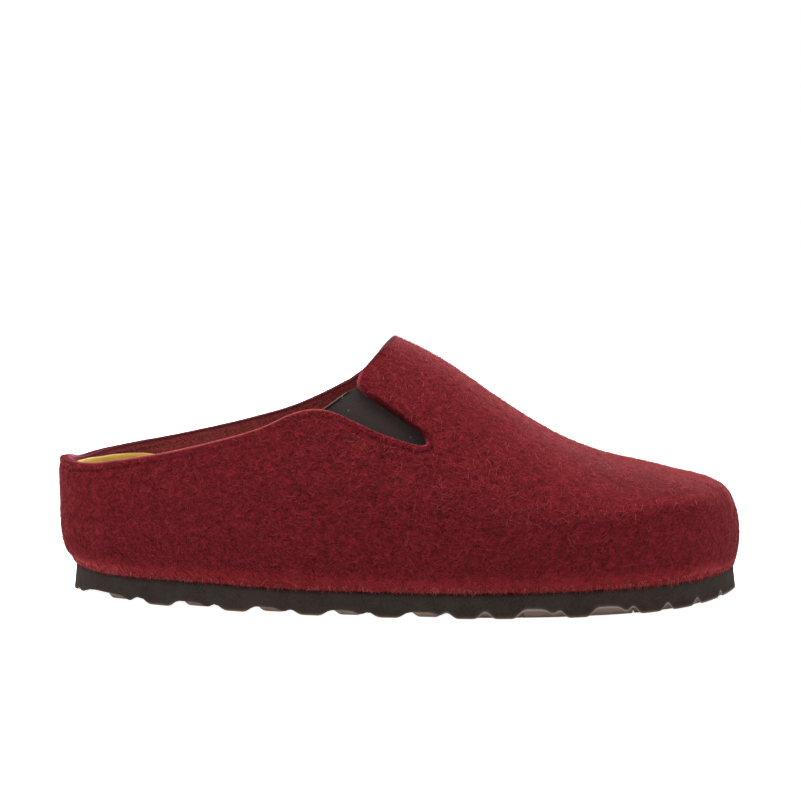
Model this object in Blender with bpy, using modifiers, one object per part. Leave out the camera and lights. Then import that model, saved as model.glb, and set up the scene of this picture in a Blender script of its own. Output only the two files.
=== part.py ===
# Felt house clog for the right foot: a hollow felt upper on a lugged sole, with a contoured footbed
# and an elastic gore behind the slot on its outer side.
#
# Tables and sizes are in millimetres. X runs from heel to toe, Z is up from the floor,
# and the outer side of the foot is at -Y. Objects are placed in metres, centred over the floor.

import bpy
import numpy as np

MM = 0.001

# Driving sizes
FELT = 3.5              # wall of the upper
GAP = 0.3               # clearance between pieces that meet
SOLE_TOP = 9.3          # upper face of the sole
TREAD_DEPTH = 3.0       # height of the lugs
TOE_SPRING = 1.2        # rise of the tread at the toe
TOE_SPRING_START = 215.0
HEEL_BEVEL = 3.0        # rise of the tread at the back of the heel
HEEL_BEVEL_RUN = 18.0
LASTING_MARGIN = 8.0    # felt turned in under the footbed
GORE = 1.2              # elastic cloth
GORE_LAP = 5.0          # elastic hidden behind the felt, around the slot
SLOT_END = 141.0        # front end of the slot
INNER_BREAK = 112.0     # where the inner collar runs into the edge of the tongue

# Edge of the sole, anticlockwise from the back of the heel, and how far the upper bulges past it
OUTLINE_COLUMNS = ("x", "y", "overhang")
OUTLINE = (
    (7.3, -1.0, 6.4),        # back of the heel
    (10.6, -12.0, 6.0),
    (21.0, -22.8, 4.8),
    (40.5, -32.8, 3.6),      # outer heel
    (72.0, -45.5, 3.0),
    (99.0, -52.8, 2.8),
    (127.0, -57.2, 2.6),
    (152.0, -59.6, 2.6),     # outer ball
    (171.0, -59.6, 2.6),
    (196.0, -56.6, 2.6),
    (221.0, -48.0, 2.5),
    (236.0, -38.6, 2.3),
    (247.0, -26.5, 2.1),
    (255.5, -12.5, 2.0),
    (259.4, 0.5, 2.0),       # tip of the toe
    (257.5, 10.5, 2.0),
    (250.5, 20.5, 2.2),
    (236.0, 29.0, 2.5),
    (213.0, 34.4, 2.6),
    (187.0, 36.0, 2.8),      # inner ball
    (158.0, 33.6, 3.0),
    (128.0, 29.2, 3.2),
    (100.0, 26.6, 3.3),      # arch
    (72.0, 27.0, 3.4),
    (44.0, 28.8, 3.8),       # inner heel
    (21.5, 23.0, 4.8),
    (10.6, 11.5, 6.0),
)

# Sections of the last: height of the crest, height of the widest line, place of the crest between
# the outer and inner edges, the two powers of the section's curve, and the power of its tucked foot
SECTION_COLUMNS = ("x", "crest", "widest", "crest_share", "fullness", "flatness", "tuck")
SECTIONS = (
    (0.0, 118.0, 40.0, 0.50, 2.20, 1.40, 4.0),
    (60.0, 117.0, 37.5, 0.52, 2.40, 1.60, 4.0),
    (100.0, 110.5, 34.0, 0.54, 2.45, 1.75, 3.8),
    (129.0, 98.1, 31.0, 0.56, 2.35, 1.75, 3.6),
    (147.0, 88.9, 29.0, 0.56, 2.30, 1.75, 3.3),
    (169.0, 73.9, 27.0, 0.56, 2.30, 1.75, 3.0),
    (188.0, 61.8, 25.5, 0.57, 2.35, 1.80, 2.8),
    (205.0, 54.2, 24.5, 0.58, 2.40, 1.90, 2.6),
    (226.0, 49.1, 23.0, 0.58, 2.40, 2.00, 2.5),
    (245.0, 45.0, 22.0, 0.55, 2.40, 2.10, 2.5),
    (262.0, 41.6, 21.5, 0.50, 2.40, 2.10, 2.5),
)
TOE_CAP_START = 232.0   # the crest rounds over into the toe from here
TOE_CAP_POWERS = (5.0, 2.0)
LEAN_TURN = (60.0, 100.0)   # the quarters lean along the outline's normal at the heel, along Y further on
HEEL_WIDTH_AT = 45.0    # the back of the heel leans in by the half width found here

# Upper edge of the outer quarter: the collar, then the lower edge of the slot
OUTER_RIM_COLUMNS = ("x", "z")
OUTER_RIM = (
    (0.0, 51.0),
    (8.0, 50.7),
    (16.0, 51.2),
    (24.0, 52.6),
    (42.0, 56.1),
    (62.0, 61.2),
    (81.0, 67.0),
    (95.0, 73.0),
    (100.5, 73.8),      # crown of the quarter
    (106.0, 73.0),
    (114.0, 69.7),
    (124.0, 65.2),
    (132.0, 63.0),
    (SLOT_END, 61.4),
)

INNER_RIM_COLUMNS = ("x", "z")
INNER_RIM = (
    (0.0, 51.0),
    (8.0, 50.8),
    (16.0, 51.5),
    (24.0, 53.0),
    (42.0, 56.5),
    (72.0, 63.4),
    (92.0, 69.7),
    (104.0, 75.3),
    (INNER_BREAK, 79.8),
)

# Edge of the vamp: round the end of the slot, up to the corner of the tongue, over its peak and
# down to the inner collar. Side is -1 on the outer side, +1 on the inner side and 0 on the crest.
VAMP_EDGE_COLUMNS = ("x", "z", "side")
VAMP_EDGE = (
    (SLOT_END, 61.4, -1),
    (143.4, 62.9, -1),      # end of the slot
    (141.2, 65.0, -1),
    (135.0, 68.9, -1),
    (129.5, 72.5, -1),
    (122.4, 77.2, -1),
    (117.6, 81.0, -1),
    (116.0, 83.2, -1),      # corner of the tongue
    (116.6, 85.6, -1),
    (120.8, 90.5, -1),
    (125.8, 95.4, -1),
    (129.1, 98.0, 0),       # peak of the tongue
    (126.0, 95.0, 1),
    (122.0, 89.8, 1),
    (117.0, 84.0, 1),
    (INNER_BREAK, 79.8, 1),
)

# Walls of the vamp in spans that fan out from its edge: the edge's row where a span ends, the place
# on the widest line below it, and the number of steps
VAMP_SPAN_COLUMNS = ("edge_row", "base_x", "side", "steps")
VAMP_SPANS = (
    (2, 186.0, -1, 9),      # round the end of the slot
    (7, 236.0, -1, 12),     # along the slot, to the corner of the tongue
    (11, 262.0, -1, 12),    # to the peak, over the tip of the toe
    (15, INNER_BREAK, 1, 20),
)

# Elastic gore: x at the ends of its lower edge, and its upper edge along its run
GORE_LOW = (96.0, 148.0)
GORE_TOP_COLUMNS = ("run", "x", "z")
GORE_TOP = (
    (0.0, 112.0, 81.0),
    (0.35, 121.5, 84.0),
    (0.7, 138.0, 73.0),
    (1.0, 149.5, 63.5),
)

# Lugs of the tread: middle of each bar, and how far its ends stop short of the edge of the sole
LUG_COLUMNS = ("x", "inset")
LUGS = (
    (10.5, 0.0),
    (27.0, 5.0),
    (42.8, 0.0),
    (57.0, 4.4),
    (71.5, 0.0),
    (85.3, 3.6),
    (99.1, 0.0),
    (113.0, 3.0),
    (127.0, 0.0),
    (141.0, 2.6),
    (154.7, 0.0),
    (168.4, 0.0),
    (181.6, 2.2),
    (194.7, 0.0),
    (208.3, 2.2),
    (221.9, 0.0),
    (234.6, 0.0),
    (246.0, 0.0),
    (256.0, 0.0),
)
LUG_WIDTH = 8.4         # flat of a bar on the floor
LUG_SLOPE = 2.5         # run of a bar's slanted flank
LUG_SLOPE_MOST = 0.46   # and the most of a narrow groove that it takes
LUG_TOOTH = 0.8         # height of the tooth left at the front of an inset bar's end
LUG_END_SLOPE = 1.6     # run of the slanted end of an inset bar
LUG_END_MOST = (0.12, 0.2)   # most of a narrow bar that the inset and the slanted end reach
MEAN_INSET = 3.4        # points of a bar that reaches the edge, in line with its neighbours
BAR_POINTS = (0.3, 0.4, 0.5, 0.6, 0.7)
BAR_WAVE = (1.5, 4.5)   # sideways swing of the bars at the heel and at the ball
BAR_WAVE_TURN = (90.0, 150.0)
BAR_WAVE_FADE = (20.0, 40.0)   # length over which the swing dies out at the heel and at the toe
BAR_WAVES = 1.5         # swings across the sole
SOLE_FLARE = 1.2        # the sole is this much wider at the floor
SOLE_END_STEPS = (0.3, 1.2, 2.8, 5.0)   # sections near the rounded ends of the sole

# Footbed: height of its floor and of its rim on each side
FOOTBED_COLUMNS = ("x", "floor", "outer_rim", "inner_rim")
FOOTBED = (
    (0.0, 31.0, 49.8, 49.8),
    (12.0, 30.0, 49.8, 50.0),
    (28.0, 29.0, 49.4, 50.2),
    (46.0, 28.0, 46.0, 48.4),
    (65.0, 26.5, 41.0, 44.0),
    (100.0, 25.0, 33.0, 38.5),
    (140.0, 21.5, 27.0, 30.0),
    (180.0, 18.5, 24.0, 25.0),
    (225.0, 18.0, 23.0, 23.0),
    (262.0, 19.0, 23.0, 23.0),
)
FOOTBED_CLEAR = 0.5     # slack of the footbed inside the felt
FOOTBED_LEAN = 0.1      # lean of its rim above the felt's widest line
FOOTBED_LIP = 1.6       # width of its rim
FOOTBED_SPINE = (38.0, 222.0)   # line that its bowl falls towards
FOOTBED_WALL = (0.0, 0.3, 0.65, 1.0)
BOWL_RINGS = (0.16, 0.34, 0.55, 0.78)
BOWL_POWER = 5.2

# Mesh steps
LOOP_POINTS = 1440      # samples round the edge of the sole
OUTER_STEPS, INNER_STEPS = 29, 23
FOOTBED_STEPS = 72
FOOT_ROWS, WALL_ROWS = 4, 14
BEND_SHARE = 0.6        # how much closer a wall is stepped where it bends
GORE_STEPS = (13, 6)
FINE = 300              # samples along a wall before it is stepped evenly
SHARP_ANGLE = 40.0

OUT_OF_FELT = FELT + GAP

FINISHES = {
    "felt": ((0.114, 0.010, 0.013), 0.95),
    "elastic": ((0.030, 0.025, 0.022), 0.85),
    "cork_cover": ((0.440, 0.235, 0.076), 0.90),
    "foam_rubber": ((0.035, 0.027, 0.023), 0.80),
}


# Curves through short tables

def hermite(knots, values):
    """A smooth curve through the values, flat past its ends."""
    knots = np.asarray(knots, float)
    values = np.asarray(values, float)
    slopes = np.gradient(values, knots, axis=0)

    def at(query):
        query = np.clip(query, knots[0], knots[-1])
        i = np.clip(np.searchsorted(knots, query, side="right") - 1, 0, len(knots) - 2)
        width = knots[i + 1] - knots[i]
        t = (query - knots[i]) / width
        if values.ndim > 1:
            t, width = t[..., None], width[..., None]
        start = values[i] * (1 + 2 * t) * (1 - t) ** 2 + slopes[i] * width * t * (1 - t) ** 2
        end = values[i + 1] * t ** 2 * (3 - 2 * t) + slopes[i + 1] * width * t ** 2 * (t - 1)
        return start + end

    return at


def read_table(columns, rows):
    """Each column after the first as a smooth curve over the first."""
    values = np.array(rows, float).T
    return {name: hermite(values[0], column) for name, column in zip(columns[1:], values[1:])}


def chords(points):
    return np.r_[0, np.cumsum(np.linalg.norm(np.diff(points, axis=0), axis=1))]


def closed_curve(rows, count):
    """Evenly stepped points on a smooth loop through the rows."""
    rows = np.array(rows, float)
    lap = 4
    wrapped = np.vstack([rows[-lap:], rows, rows[:lap + 1]])
    knots = chords(wrapped[:, :2])
    fine = hermite(knots, wrapped)(np.linspace(knots[lap], knots[lap + len(rows)], 8 * count))
    length = chords(fine[:, :2])
    steps = np.linspace(0, length[-1], count + 1)[:-1]
    return np.stack([np.interp(steps, length, column) for column in fine.T], axis=1)


def outward(loop):
    """Unit normals of an anticlockwise loop, in plan."""
    along = np.roll(loop, -1, axis=0) - np.roll(loop, 1, axis=0)
    normal = np.stack([along[:, 1], -along[:, 0]], axis=1)
    return normal / np.linalg.norm(normal, axis=1)[:, None]


# The last

section = read_table(SECTION_COLUMNS, SECTIONS)
outer_rim = read_table(OUTER_RIM_COLUMNS, OUTER_RIM)["z"]
inner_rim = read_table(INNER_RIM_COLUMNS, INNER_RIM)["z"]
gore_top = read_table(GORE_TOP_COLUMNS, GORE_TOP)
footbed = read_table(FOOTBED_COLUMNS, FOOTBED)

EDGE = closed_curve(OUTLINE, LOOP_POINTS)
FEATHER = EDGE[:, :2]
OVERHANG = EDGE[:, 2]
FEATHER_NORMAL = outward(FEATHER)
WIDEST = FEATHER + FEATHER_NORMAL * OVERHANG[:, None]
HEEL_INDEX = int(np.argmin(WIDEST[:, 0]))
TOE_INDEX = int(np.argmax(WIDEST[:, 0]))
HEEL_X = WIDEST[HEEL_INDEX, 0]
TOE_X = WIDEST[TOE_INDEX, 0]


def sides_of(loop):
    """The outer and inner edges of a loop as functions of x."""
    loop = np.roll(loop, -int(np.argmin(loop[:, 0])), axis=0)
    toe = int(np.argmax(loop[:, 0]))
    outer = loop[:toe + 1]
    inner = np.vstack([loop[toe:], loop[:1]])[::-1]
    return (
        lambda x: np.interp(x, outer[:, 0], outer[:, 1]),
        lambda x: np.interp(x, inner[:, 0], inner[:, 1]),
    )


widest_outer, widest_inner = sides_of(WIDEST)


def crest_y(x):
    outer, inner = widest_outer(x), widest_inner(x)
    return outer + (inner - outer) * section["crest_share"](x)


def crest_z(x):
    """Height of the crest, rounded over into the toe by a superellipse."""
    wide = section["widest"](x)
    along = np.clip((x - TOE_CAP_START) / (TOE_X - TOE_CAP_START), 0, 1)
    rounding = (1 - along ** TOE_CAP_POWERS[0]) ** (1 / TOE_CAP_POWERS[1])
    return wide + (section["crest"](x) - wide) * rounding


def half_width(x, side):
    edge = np.where(side < 0, widest_outer(x), widest_inner(x))
    return np.maximum(np.abs(edge - crest_y(x)), 1e-6)


def surface_z(x, y):
    """Height of the last over a point in plan: a superellipse from the widest line to the crest."""
    away = y - crest_y(x)
    share = np.clip(np.abs(away) / half_width(x, away), 0, 1)
    rise = (1 - share ** section["fullness"](x)) ** (1 / section["flatness"](x))
    wide = section["widest"](x)
    return wide + (crest_z(x) - wide) * rise


def share_at(x, z):
    """Share of the half width at which the section at x reaches the height z."""
    wide = section["widest"](x)
    rise = np.clip((z - wide) / (crest_z(x) - wide), 0, 1)
    return (1 - rise ** section["flatness"](x)) ** (1 / section["fullness"](x))


def plan_at(x, z, side):
    return np.stack([x, crest_y(x) + side * share_at(x, z) * half_width(x, side)], axis=-1)


# Columns of the upper, from the feather edge over the widest line to the upper edge

def vamp_edge_plan():
    rows = np.array(VAMP_EDGE, float)
    points = plan_at(rows[:, 0], rows[:, 1], rows[:, 2])
    knots = chords(points)
    return hermite(knots, points), knots


def loop_index_at(x, outer):
    """Place along the widest line, counted from the heel, of its point at x on one side."""
    span = (TOE_INDEX - HEEL_INDEX) % len(WIDEST)
    places = np.arange(span + 1) if outer else np.arange(span, len(WIDEST) + 1)
    xs = WIDEST[(HEEL_INDEX + places) % len(WIDEST), 0]
    order = np.argsort(xs)
    return float(np.interp(x, xs[order], places[order]))


def at_places(values, places):
    """Values along the loop read at fractional places from the heel."""
    low = np.floor(places).astype(int)
    part = (places - low)[:, None]
    first = values[(HEEL_INDEX + low) % len(values)]
    second = values[(HEEL_INDEX + low + 1) % len(values)]
    return first * (1 - part) + second * part


def column_places():
    """Base of every column along the widest line, and its place along the vamp's edge."""
    knots = vamp_edge_plan()[1]
    base = loop_index_at(SLOT_END, True)
    outer = np.linspace(0, base, OUTER_STEPS, endpoint=False)
    vamp, on_edge, row = [], [], 0
    for end_row, base_x, side, steps in VAMP_SPANS:
        end = loop_index_at(base_x, side < 0)
        vamp.append(np.linspace(base, end, steps, endpoint=False))
        on_edge.append(np.linspace(knots[row], knots[end_row], steps, endpoint=False))
        base, row = end, end_row
    vamp = np.append(np.concatenate(vamp), base)
    on_edge = np.append(np.concatenate(on_edge), knots[-1])
    inner = np.linspace(base, len(WIDEST), INNER_STEPS, endpoint=False)[1:]
    return outer, vamp, on_edge, inner


def quarter_columns(places, rim, side):
    """Walls of a quarter: each leans in along the outline's normal at the heel, and along Y further on."""
    base = at_places(WIDEST, places)
    x = base[:, 0]
    straight = np.interp(x, LEAN_TURN, (0.0, 1.0))[:, None]
    straight = straight ** 2 * (3 - 2 * straight)
    lean = at_places(FEATHER_NORMAL, places) * (1 - straight) + np.array([0.0, side]) * straight
    lean = lean / np.linalg.norm(lean, axis=1)[:, None]
    inset = (1 - share_at(x, rim(x))) * half_width(np.maximum(x, HEEL_WIDTH_AT), np.full(len(x), side))
    part = np.linspace(0, 1, FINE) ** 2
    shares = 1 - (1 - share_at(x, rim(x)))[:, None] * part
    wide = section["widest"](x)[:, None]
    rise = (1 - shares ** section["fullness"](x)[:, None]) ** (1 / section["flatness"](x)[:, None])
    z = wide + (crest_z(x)[:, None] - wide) * rise
    plan = base[:, None] - lean[:, None] * (inset[:, None] * part)[..., None]
    return np.dstack([plan, z])


def vamp_columns(places, on_edge):
    """Walls of the vamp, straight in plan from the widest line to its edge."""
    base = at_places(WIDEST, places)
    edge = vamp_edge_plan()[0](on_edge)
    part = (np.linspace(0, 1, FINE) ** 2)[None, :, None]
    plan = base[:, None] + (edge - base)[:, None] * part
    return np.dstack([plan, surface_z(plan[..., 0], plan[..., 1])])


def foot_columns(places):
    """The tucked foot of the wall, from the feather edge out to the widest line."""
    foot = at_places(FEATHER, places)
    normal = at_places(FEATHER_NORMAL, places)
    overhang = at_places(OVERHANG[:, None], places)
    x = at_places(WIDEST, places)[:, 0]
    bottom = SOLE_TOP + GAP
    wide = section["widest"](x)[:, None]
    z = bottom + (wide - bottom) * np.linspace(0, 1, FINE)
    out = overhang * (1 - ((wide - z) / (wide - bottom)) ** section["tuck"](x)[:, None])
    plan = foot[:, None] + normal[:, None] * out[..., None]
    return np.dstack([plan, z])


def wall_columns():
    """Finely sampled columns all round the upper, from the widest line to the upper edge."""
    outer, vamp, on_edge, inner = column_places()
    tops = np.concatenate([
        quarter_columns(outer, outer_rim, -1.0),
        vamp_columns(vamp, on_edge),
        quarter_columns(inner, inner_rim, 1.0),
    ])
    places = np.concatenate([outer, vamp, inner])
    return tops, places


def stepped(columns, count):
    """Each column cut into steps along its length, closer together where it bends."""
    runs = np.diff(columns, axis=1)
    length = np.linalg.norm(runs, axis=2)
    ways = runs / np.maximum(length, 1e-9)[..., None]
    turns = np.linalg.norm(np.diff(ways, axis=1), axis=2)
    length = np.pad(length.cumsum(axis=1), ((0, 0), (1, 0)))
    turns = np.pad(turns.cumsum(axis=1), ((0, 0), (1, 1)), mode="edge")
    turns = turns - turns[:, :1]
    measure = length / length[:, -1:] + BEND_SHARE * turns / np.maximum(turns[:, -1:], 1.0)
    share = np.linspace(0, 1, count)
    rows = [
        [np.interp(share * along[-1], along, axis) for axis in column.T]
        for along, column in zip(measure, columns)
    ]
    return np.array(rows).transpose(0, 2, 1)


def normals_of(grid):
    """Unit normals of a grid of columns that closes on itself, pointing out."""
    around = np.roll(grid, -1, axis=0) - np.roll(grid, 1, axis=0)
    up = np.gradient(grid, axis=1)
    normal = np.cross(around, up)
    return normal / np.maximum(np.linalg.norm(normal, axis=2), 1e-9)[..., None]


# Meshes

def band_faces(columns, rows, start=0):
    """Quads between rings that are stored ring after ring, each with this many columns."""
    faces = []
    for row in range(rows - 1):
        low = start + row * columns
        for i in range(columns):
            j = (i + 1) % columns
            faces.append((low + i, low + j, low + columns + j, low + columns + i))
    return faces


def cap_faces(ring, up):
    """Fill of a ring that starts at the heel, in strips from side to side."""
    count = len(ring)
    faces = [(ring[0], ring[1], ring[-1])]
    for i in range(1, count // 2):
        left, right = count - i, count - i - 1
        corners = (ring[left], ring[i], ring[i + 1], ring[right])
        faces.append(corners[:3] if right == i + 1 else corners)
    if not up:
        faces = [face[::-1] for face in faces]
    return faces


def make_material(name):
    color, roughness = FINISHES[name]
    material = bpy.data.materials.new(name)
    material.use_nodes = True
    shader = material.node_tree.nodes["Principled BSDF"]
    shader.inputs["Base Color"].default_value = (*color, 1.0)
    shader.inputs["Roughness"].default_value = roughness
    shader.inputs["Metallic"].default_value = 0.0
    return material


def make_object(name, points, faces, finish, collection, parent):
    mesh = bpy.data.meshes.new(name)
    mesh.from_pydata((np.asarray(points) * MM).tolist(), [], faces)
    mesh.update()
    mesh.shade_smooth()
    mesh.set_sharp_from_angle(angle=np.radians(SHARP_ANGLE))
    piece = bpy.data.objects.new(name, mesh)
    piece.data.materials.append(make_material(finish))
    collection.objects.link(piece)
    piece.parent = parent
    return piece


def add_wall(piece, thickness):
    """Gives an open surface its thickness on the inside."""
    wall = piece.modifiers.new("Wall", "SOLIDIFY")
    wall.thickness = thickness * MM
    wall.offset = -1
    wall.use_even_offset = True
    wall.use_quality_normals = True


def make_upper(collection, parent):
    columns, places = wall_columns()
    foot = stepped(foot_columns(places), FOOT_ROWS + 1)[:, :-1]
    wall = stepped(columns, WALL_ROWS)
    margin = at_places(FEATHER - FEATHER_NORMAL * LASTING_MARGIN, places)
    margin = np.column_stack([margin, np.full(len(margin), SOLE_TOP + GAP)])
    rings = np.concatenate([margin[:, None], foot, wall], axis=1).transpose(1, 0, 2)
    faces = band_faces(len(places), len(rings))
    piece = make_object("upper", rings.reshape(-1, 3), faces, "felt", collection, parent)
    add_wall(piece, FELT)


def make_gore(collection, parent):
    """Elastic panel behind the slot, on the last's own surface set in by the felt."""
    along, across = GORE_STEPS
    run = np.linspace(0, 1, along)
    low_x = np.interp(run, (0.0, 1.0), GORE_LOW)
    low_z = outer_rim(low_x) - GORE_LAP
    part = np.linspace(0, 1, across)[:, None]
    x = low_x + (gore_top["x"](run) - low_x) * part
    z = low_z + (gore_top["z"](run) - low_z) * part
    plan = plan_at(x, z, -1.0)
    grid = np.dstack([plan, z])
    normal = np.cross(np.gradient(grid, axis=1), np.gradient(grid, axis=0))
    normal = normal / np.linalg.norm(normal, axis=2)[..., None]
    grid = grid - normal * OUT_OF_FELT
    faces = [
        (row * along + i, row * along + i + 1, (row + 1) * along + i + 1, (row + 1) * along + i)
        for row in range(across - 1)
        for i in range(along - 1)
    ]
    piece = make_object("gore", grid.reshape(-1, 3), faces, "elastic", collection, parent)
    add_wall(piece, GORE)


def make_footbed(collection, parent):
    """Contoured bed: a plug inside the lasting margin, the felt's own inner wall, a lip and a bowl."""
    places = np.linspace(0, len(WIDEST), FOOTBED_STEPS, endpoint=False)
    columns = foot_columns(places)
    inner = columns - normals_of(columns) * (FELT + FOOTBED_CLEAR)
    base = at_places(WIDEST, places)
    x = base[:, 0]
    is_outer = base[:, 1] < crest_y(x)
    rim = np.where(is_outer, footbed["outer_rim"](x), footbed["inner_rim"](x))
    seat = SOLE_TOP + GAP + FELT + GAP
    plug = at_places(FEATHER - FEATHER_NORMAL * (LASTING_MARGIN + FOOTBED_CLEAR), places)

    def wall_ring(height):
        """The inner face of the felt at this height, column by column, leaning in above the widest line."""
        ring = [
            [np.interp(z, column[:, 2], axis) for axis in column.T[:2]]
            for column, z in zip(inner, height)
        ]
        lean = FOOTBED_LEAN * np.clip(height - inner[:, -1, 2], 0, None)
        plan = np.array(ring) - at_places(FEATHER_NORMAL, places) * lean[:, None]
        return np.column_stack([plan, height])

    def level(ring, z):
        return np.column_stack([ring[:, :2], np.broadcast_to(z, len(ring))])

    outside = [wall_ring(seat + (rim - seat) * part) for part in FOOTBED_WALL]
    spine_x = np.clip(x, *FOOTBED_SPINE)
    spine = np.column_stack([spine_x, 0.5 * (widest_outer(spine_x) + widest_inner(spine_x))])
    lip = outside[-1][:, :2]
    toward = spine - lip
    toward = toward / np.linalg.norm(toward, axis=1)[:, None]
    lip_ring = level(lip + toward * FOOTBED_LIP, rim)
    bowl = []
    for part in BOWL_RINGS:
        plan = lip_ring[:, :2] + (spine - lip_ring[:, :2]) * part
        floor = footbed["floor"](plan[:, 0])
        bowl.append(np.column_stack([plan, floor + (rim - floor) * (1 - part) ** BOWL_POWER]))
    rings = [level(plug, SOLE_TOP + GAP), level(plug, seat), *outside, lip_ring, *bowl]
    count = len(places)
    faces = band_faces(count, len(rings))
    faces += cap_faces(range(count), up=False)
    faces += cap_faces(range((len(rings) - 1) * count, len(rings) * count), up=True)
    make_object("footbed", np.concatenate(rings), faces, "cork_cover", collection, parent)


def lug_stations():
    """Places along the sole where the tread changes: (x, depth in the middle, depth at the edge, inset)."""
    stations = []
    for (x, inset), (next_x, next_inset) in zip(LUGS[:-1], LUGS[1:]):
        rear, front = x + LUG_WIDTH / 2, next_x - LUG_WIDTH / 2
        slope = min(LUG_SLOPE, LUG_SLOPE_MOST * (front - rear))
        stations += [
            (rear, 0.0, LUG_TOOTH if inset else 0.0, inset),
            (rear + slope, TREAD_DEPTH, TREAD_DEPTH, inset),
            (front - slope, TREAD_DEPTH, TREAD_DEPTH, next_inset),
            (front, 0.0, TREAD_DEPTH if next_inset else 0.0, next_inset),
        ]
    return stations


def make_sole(collection, parent):
    """Sole as a row of cross sections: a tread of wavy bars below, a flat seat for the upper above."""
    top_outer, top_inner = sides_of(FEATHER)
    low_outer, low_inner = sides_of(FEATHER + FEATHER_NORMAL * SOLE_FLARE)
    heel, toe = FEATHER[:, 0].min(), FEATHER[:, 0].max()
    heel_ends = [(heel + step, 0.0, 0.0, 0.0) for step in SOLE_END_STEPS]
    toe_ends = [(toe - step, 0.0, 0.0, 0.0) for step in reversed(SOLE_END_STEPS)]
    rings = []
    for x, middle, edge, inset in heel_ends + lug_stations() + toe_ends:
        low, high = low_outer(x), low_inner(x)
        width = high - low
        step = inset or MEAN_INSET
        outer = min(step / width, LUG_END_MOST[0])
        inner = min((step + LUG_END_SLOPE) / width, LUG_END_MOST[1])
        shares = np.array([0, outer, inner, *BAR_POINTS, 1 - inner, 1 - outer, 1])
        depth = np.full(len(shares), middle)
        depth[[0, 1, -2, -1]] = edge
        fade = min(1.0, (x - heel) / BAR_WAVE_FADE[0], (toe - x) / BAR_WAVE_FADE[1])
        swing = np.interp(x, BAR_WAVE_TURN, BAR_WAVE) * fade
        along = x + swing * np.sin(2 * np.pi * BAR_WAVES * shares) * np.sin(np.pi * shares)
        toe_rise = TOE_SPRING * np.clip((along - TOE_SPRING_START) / (toe - TOE_SPRING_START), 0, 1) ** 2
        heel_rise = HEEL_BEVEL * np.clip((heel + HEEL_BEVEL_RUN - along) / HEEL_BEVEL_RUN, 0, 1) ** 2
        below = np.column_stack([along, low + width * shares, toe_rise + heel_rise + depth])
        above = np.array([(x, top_inner(x), SOLE_TOP), (x, top_outer(x), SOLE_TOP)])
        rings.append(np.vstack([below, above]))
    count = len(rings[0])
    faces = band_faces(count, len(rings))
    faces.append(tuple(reversed(range(count))))
    faces.append(tuple(range((len(rings) - 1) * count, len(rings) * count)))
    make_object("sole", np.concatenate(rings), faces, "foam_rubber", collection, parent)


def centre_on_floor(root, collection):
    """Moves the root so that the pieces' box is centred over the origin and stands on Z = 0."""
    bpy.context.view_layer.update()
    graph = bpy.context.evaluated_depsgraph_get()
    corners = []
    for piece in collection.objects:
        if piece.type == "MESH":
            mesh = piece.evaluated_get(graph).data
            flat = np.empty(len(mesh.vertices) * 3)
            mesh.vertices.foreach_get("co", flat)
            corners.append(flat.reshape(-1, 3))
    corners = np.concatenate(corners)
    low, high = corners.min(axis=0), corners.max(axis=0)
    root.location = (-0.5 * (low[0] + high[0]), -0.5 * (low[1] + high[1]), -low[2])
    bpy.context.view_layer.update()


def main():
    for old in list(bpy.data.objects):
        bpy.data.objects.remove(old, do_unlink=True)
    collection = bpy.data.collections.new("felt_clog")
    bpy.context.scene.collection.children.link(collection)
    root = bpy.data.objects.new("felt_clog_root", None)
    collection.objects.link(root)
    make_sole(collection, root)
    make_footbed(collection, root)
    make_upper(collection, root)
    make_gore(collection, root)
    centre_on_floor(root, collection)


if __name__ == "__main__":
    main()
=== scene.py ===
import bpy
import numpy as np
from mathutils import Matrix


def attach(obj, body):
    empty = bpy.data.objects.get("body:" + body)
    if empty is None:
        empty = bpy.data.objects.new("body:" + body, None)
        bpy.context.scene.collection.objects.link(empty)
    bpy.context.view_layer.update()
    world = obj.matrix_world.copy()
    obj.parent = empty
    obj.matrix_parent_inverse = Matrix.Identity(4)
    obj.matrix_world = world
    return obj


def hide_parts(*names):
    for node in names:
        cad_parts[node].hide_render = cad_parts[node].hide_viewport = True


# Felt house clog for the right foot, as it stands in its photograph.
# Lengths in the dictionaries are millimetres: x from the back of the heel to the toe, z up from the
# floor, the outer side of the foot at -y. Meshes are put into the frame in metres.

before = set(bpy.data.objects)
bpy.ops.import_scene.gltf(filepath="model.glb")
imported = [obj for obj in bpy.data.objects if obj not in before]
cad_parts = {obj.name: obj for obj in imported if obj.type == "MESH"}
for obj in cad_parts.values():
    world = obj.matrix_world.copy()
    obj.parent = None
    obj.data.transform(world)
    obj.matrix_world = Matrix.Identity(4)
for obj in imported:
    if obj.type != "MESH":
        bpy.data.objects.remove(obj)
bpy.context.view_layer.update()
mm = 0.001
print("frame:", sorted(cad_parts))


# Curves

def curveThrough(knots, values):
    # cubic through the values: each stretch blends its two ends and their slopes
    knots = np.asarray(knots, float)
    values = np.asarray(values, float)
    slopes = np.gradient(values, knots, axis=0)

    def at(query):
        query = np.clip(query, knots[0], knots[-1])
        i = np.clip(np.searchsorted(knots, query, side="right") - 1, 0, len(knots) - 2)
        width = knots[i + 1] - knots[i]
        t = (query - knots[i]) / width
        if values.ndim > 1:
            t, width = t[..., None], width[..., None]
        start = values[i] * (1 + 2 * t) * (1 - t) ** 2 + slopes[i] * width * t * (1 - t) ** 2
        end = values[i + 1] * t ** 2 * (3 - 2 * t) + slopes[i + 1] * width * t ** 2 * (t - 1)
        return start + end

    return at


def tableCurves(names, rows):
    # every column after the first as a curve over the first
    columns = np.array(rows, float).T
    return {name: curveThrough(columns[0], column) for name, column in zip(names, columns[1:])}


def runLength(points):
    return np.r_[0, np.cumsum(np.linalg.norm(np.diff(points, axis=0), axis=1))]


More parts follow.
